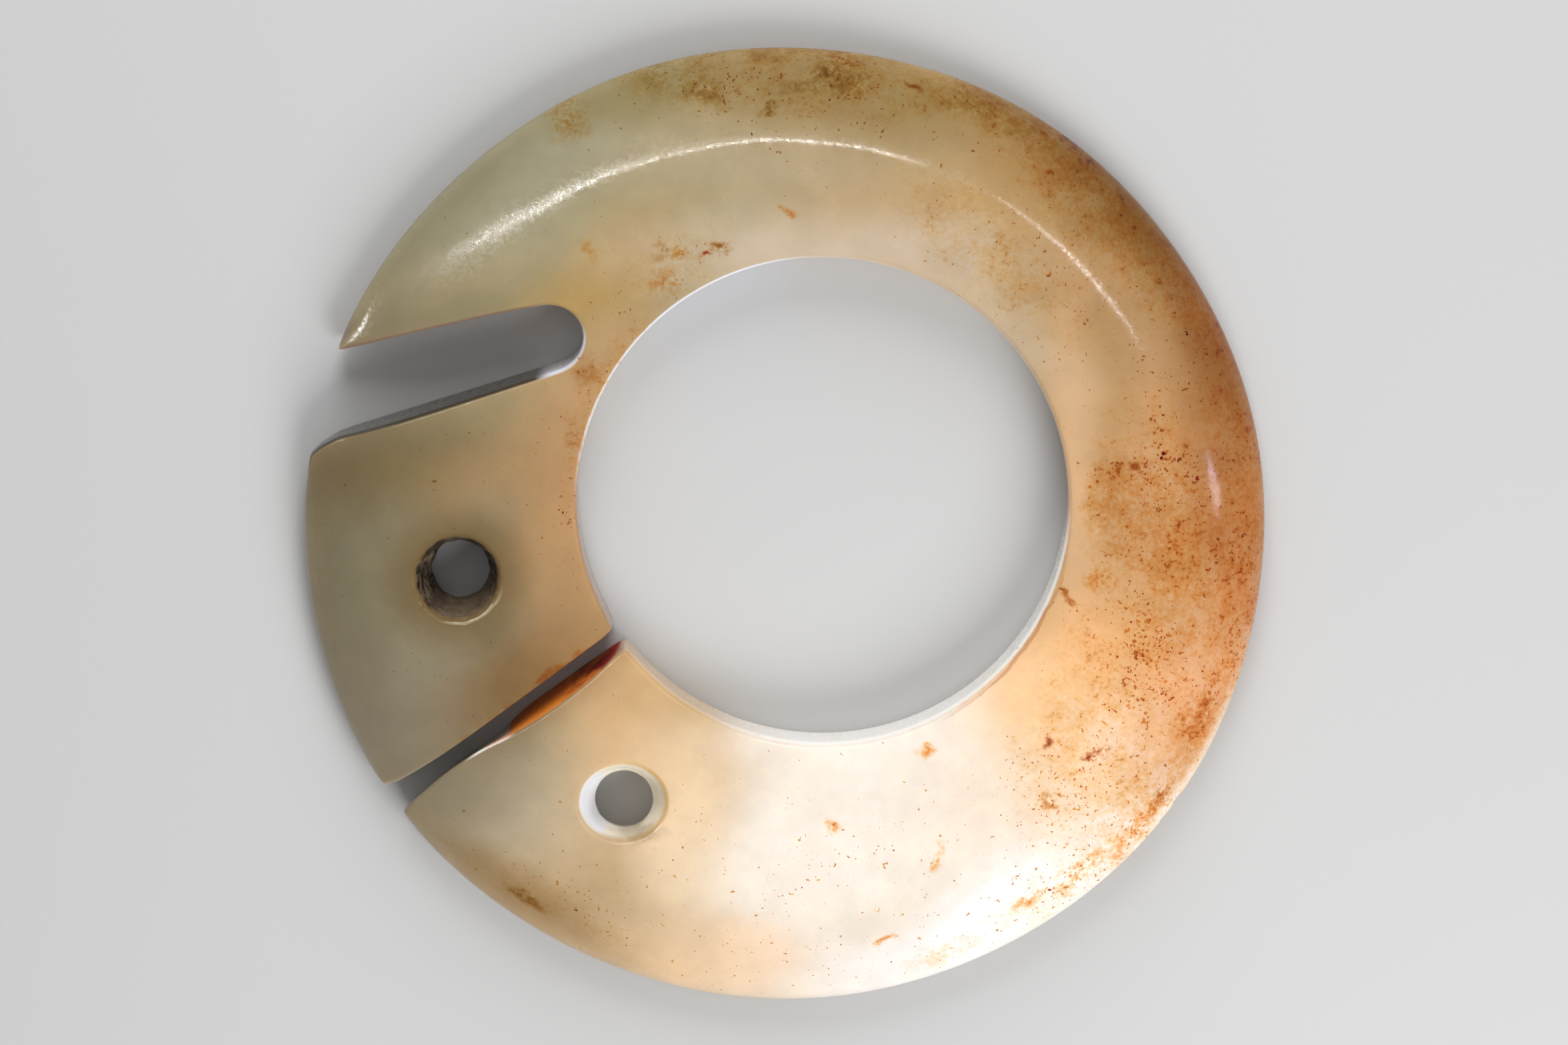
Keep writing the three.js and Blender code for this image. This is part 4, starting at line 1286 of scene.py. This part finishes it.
        # Painted glow on the flare, then a painted cool glint in it
        flare_glow = self.patch_mask(self.position, *TAIL_FLARE_GLOW)
        colour = bench.mixed(flare_glow, colour, display(*PAINTED_GLOW_TAIL_HOLE))
        glint_crescent = bench.math("MULTIPLY", self.patch_mask(self.position, *TAIL_GLINT_CRESCENT), flare_glow)
        colour = bench.mixed(glint_crescent, colour, display(*PAINTED_GLINT_WHITE))
        wider = self.patch_mask(self.position, *TAIL_BORDER)
        border = bench.math("SUBTRACT", wider, flare_glow, clamp=True)
        border = bench.math("MULTIPLY", border, TAIL_BORDER_LAYERS)
        border_side = self.patch_mask(self.ragged, *TAIL_BORDER_SIDE)
        colour = self.soaked(colour, OLIVE, bench.math("MULTIPLY", border, border_side))
        return bench.mixed(self.patch_mask(self.ragged, *TAIL_DEPOSIT), colour, display(*DEPOSIT))

    def slit_rust(self, colour):
        """Rust on the scooped wall of the slit: along and side are the position's parts along the
        slit and across it, and the rust ends where the scoop's parabola meets the front."""
        bench = self.bench
        start = bench.vector("SUBTRACT", self.position, (*APERTURE_CENTRE, 0))
        axis, across = direction(SLIT_BEARING), direction(SLIT_BEARING + 90)
        along = bench.vector("DOT_PRODUCT", start, (*axis, 0))
        side = bench.vector("DOT_PRODUCT", start, (*across, 0))
        share = bench.math("DIVIDE", bench.math("SUBTRACT", along, SCOOP_CENTRE), SCOOP_HALF_LENGTH)
        bow = bench.math("SUBTRACT", 1.0, bench.math("MULTIPLY", share, share))
        front_edge = bench.math("MULTIPLY_ADD", bow, SCOOP_WIDTH, SLIT_TAIL_SIDE)
        inside = bench.math("SUBTRACT", side, front_edge)
        mask = bench.smooth(inside, *RUST_FRONT_STEP)
        mask = bench.math("MULTIPLY", mask, bench.smooth(side, SLIT_HEAD_SIDE + RUST_HEAD_GAP, 0.0))
        mask = bench.math("MULTIPLY", mask, bench.smooth(along, *RUST_END_STEP))
        brighter = bench.math("MULTIPLY_ADD", along, RUST_BRIGHTENING, RUST_LEVEL)
        streaks = bench.math("ADD", bench.noise(self.ragged, *RUST_STREAKS)[0], brighter)
        streaks = bench.smooth(streaks, *RUST_STREAK_STEP)
        tint = bench.mixed(streaks, display(*RUST_DARK), display(*RUST_BRIGHT))
        return bench.mixed(mask, colour, tint), mask

    def build(self):
        """The finished material: the colour, a polish that fine dots break, low relief, and light
        that sinks in."""
        bench = self.bench
        shader = self.material.node_tree.nodes["Principled BSDF"]
        colour = self.specked(self.stains(self.edge_tints_and_painted_light(self.zones())))
        colour, crust = self.head_hole(colour)
        colour = self.tail_hole(colour)
        colour, rust = self.slit_rust(colour)
        bench.put(shader.inputs["Base Color"], colour)
        dull = bench.math("MAXIMUM", crust, rust)
        polish = bench.smooth(self.noise(POLISH_DOTS), *POLISH_STEP)
        roughness = bench.math("MULTIPLY_ADD", dull, CRUST_ROUGHNESS, polish)
        bench.put(shader.inputs["Roughness"], roughness)
        swell = bench.math("MULTIPLY", self.noise(SURFACE_SWELL), SWELL_STRENGTH)
        height = bench.math("MULTIPLY_ADD", self.noise(SURFACE_GRAIN), GRAIN_STRENGTH, swell)
        lumps = bench.math("MULTIPLY", dull, self.noise(CRUST_LUMPS))
        height = bench.math("MULTIPLY_ADD", lumps, CRUST_STRENGTH, height)
        values = {"Height": height, "Strength": 1.0, "Distance": RELIEF_DEPTH * MM}
        bump = bench.node("ShaderNodeBump", values)
        bench.put(shader.inputs["Normal"], bump.outputs["Normal"])
        bench.put(shader.inputs["IOR"], REFRACTION)
        bench.put(shader.inputs["Specular IOR Level"], GLOSS)
        bench.put(shader.inputs["Subsurface Weight"], SUNKEN_LIGHT)
        bench.put(shader.inputs["Subsurface Radius"], SUNKEN_LIGHT_REACH)
        bench.put(shader.inputs["Subsurface Scale"], SUNKEN_LIGHT_DEPTH * MM)
        return self.material


# The camera
CAMERA_TARGET = Vector((-0.05, 0.36, 1.7)) * MM
CAMERA_DISTANCE = 560 * MM
CAMERA_TILT = math.radians(9)
CAMERA_LENS = 176.4
CAMERA_SENSOR = 36
CAMERA_NEAREST = 10 * MM


def place_camera():
    """A long lens above the polished face, tilted a little towards the object's top."""
    camera = bpy.data.objects.new("camera", bpy.data.cameras.new("camera"))
    camera.data.lens = CAMERA_LENS
    camera.data.sensor_width = CAMERA_SENSOR
    camera.data.clip_start = CAMERA_NEAREST
    away = Vector((0, math.sin(CAMERA_TILT), math.cos(CAMERA_TILT)))
    camera.location = CAMERA_TARGET + CAMERA_DISTANCE * away
    camera.rotation_euler = (-CAMERA_TILT, 0, 0)
    bpy.context.scene.collection.objects.link(camera)
    bpy.context.scene.camera = camera


# The soft lamps: name, place, direction of one side, size, and brightness, where a surface as
# bright as 1 shows as white
SOFT_LAMPS = (
    ("key_lamp", (130, -225, 225), (1, 1, 0), 220, 6.4),
    ("top_lamp", (-10, 300, 225), (1, 0, 0), 200, 5.0),
    ("low_lamp", (0, 420, 95), (1, 0, 0), 160, 6.4),
)

# Strips overhead that show only in the polish: both ends on the plan, width, brightness. The first
# six draw the long glint along the crest, two broad ones a faint sheen, the last the short glint
# at the right.
STRIP_HEIGHT = 600
STRIPS = (
    ((-950, 555), (-700, 462), 14, 7.0),
    ((-700, 462), (-520, 392), 14, 17.0),
    ((-520, 392), (-340, 313), 16, 36.0),
    ((-340, 313), (-140, 225), 16, 58.0),
    ((-120, 190), (95, 200), 12, 64.0),
    ((195, 175), (360, 120), 10, 50.0),
    ((-640, 440), (-300, 300), 110, 1.3),
    ((-300, 300), (110, 215), 90, 1.3),
    ((871, -37), (986, -86), 4, 260.0),
)

# The lamp that shows only as the glint at the jaw's tip
TIP_LAMP_PLACE = (-757, 238, 108)
TIP_LAMP_ACROSS = (22, 63, 25)
TIP_LAMP_SIZE = (75, 50)
TIP_LAMP_BRIGHTNESS = 30.0

# The room and its floor, whose half side is in metres
ROOM_BRIGHTNESS = 0.33
FLOOR_GREY = 0.6
FLOOR_ROUGHNESS = 0.9
FLOOR_REACH = 3.0


def place_lamp(name, centre, across, size, brightness):
    """An area lamp that faces the stone: its first side lies along across, as nearly as facing
    the stone allows. Its power is its brightness times pi times its area."""
    centre = Vector(centre)
    facing = centre.normalized()
    side = (Vector(across) - facing * facing.dot(Vector(across))).normalized()
    lamp = bpy.data.lights.new(name, "AREA")
    lamp.shape = "RECTANGLE"
    lamp.size, lamp.size_y = size[0] * MM, size[1] * MM
    lamp.energy = brightness * math.pi * lamp.size * lamp.size_y
    holder = bpy.data.objects.new(name, lamp)
    turned = Matrix((side, facing.cross(side), facing)).transposed().to_4x4()
    holder.matrix_world = Matrix.Translation(centre * MM) @ turned
    bpy.context.scene.collection.objects.link(holder)
    return holder


def place_lamps():
    """A soft key from the lower right and two soft lamps from the top, which show in no glint, and
    the tip lamp and the strips, which show in nothing else."""
    for name, place, across, size, brightness in SOFT_LAMPS:
        place_lamp(name, place, across, (size, size), brightness).visible_glossy = False
    tip = place_lamp("tip_lamp", TIP_LAMP_PLACE, TIP_LAMP_ACROSS, TIP_LAMP_SIZE, TIP_LAMP_BRIGHTNESS)
    tip.visible_diffuse = False
    for number, (start, end, width, brightness) in enumerate(STRIPS, 1):
        start, end = Vector((*start, STRIP_HEIGHT)), Vector((*end, STRIP_HEIGHT))
        run = end - start
        strip = place_lamp(
            f"strip_{number}", (start + end) / 2, run, (run.length, width), brightness
        )
        strip.visible_diffuse = False


def place_room():
    """An even pale room and a plain floor."""
    world = bpy.data.worlds.new("room")
    world.use_nodes = True
    background = world.node_tree.nodes["Background"]
    background.inputs["Color"].default_value = (1, 1, 1, 1)
    background.inputs["Strength"].default_value = ROOM_BRIGHTNESS
    bpy.context.scene.world = world
    floor_mesh = bpy.data.meshes.new("floor")
    signs = ((-1, -1), (1, -1), (1, 1), (-1, 1))
    corners = [(x * FLOOR_REACH, y * FLOOR_REACH, 0) for x, y in signs]
    floor_mesh.from_pydata(corners, [], [(0, 1, 2, 3)])
    paint = bpy.data.materials.new("floor_paint")
    paint.use_nodes = True
    shader = paint.node_tree.nodes["Principled BSDF"]
    shader.inputs["Base Color"].default_value = (FLOOR_GREY, FLOOR_GREY, FLOOR_GREY, 1)
    shader.inputs["Roughness"].default_value = FLOOR_ROUGHNESS
    floor_mesh.materials.append(paint)
    floor = bpy.data.objects.new("floor", floor_mesh)
    bpy.context.scene.collection.objects.link(floor)


place_camera()
place_lamps()
place_room()

stone_points, stone_faces = compacted(*ring_body())
stone = make_mesh("pendant_stone", stone_points, stone_faces)

stone.data.materials.append(Nephrite().build())
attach(stone, "root")
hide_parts("jade_body")

bpy.context.scene.view_settings.view_transform = "Standard"
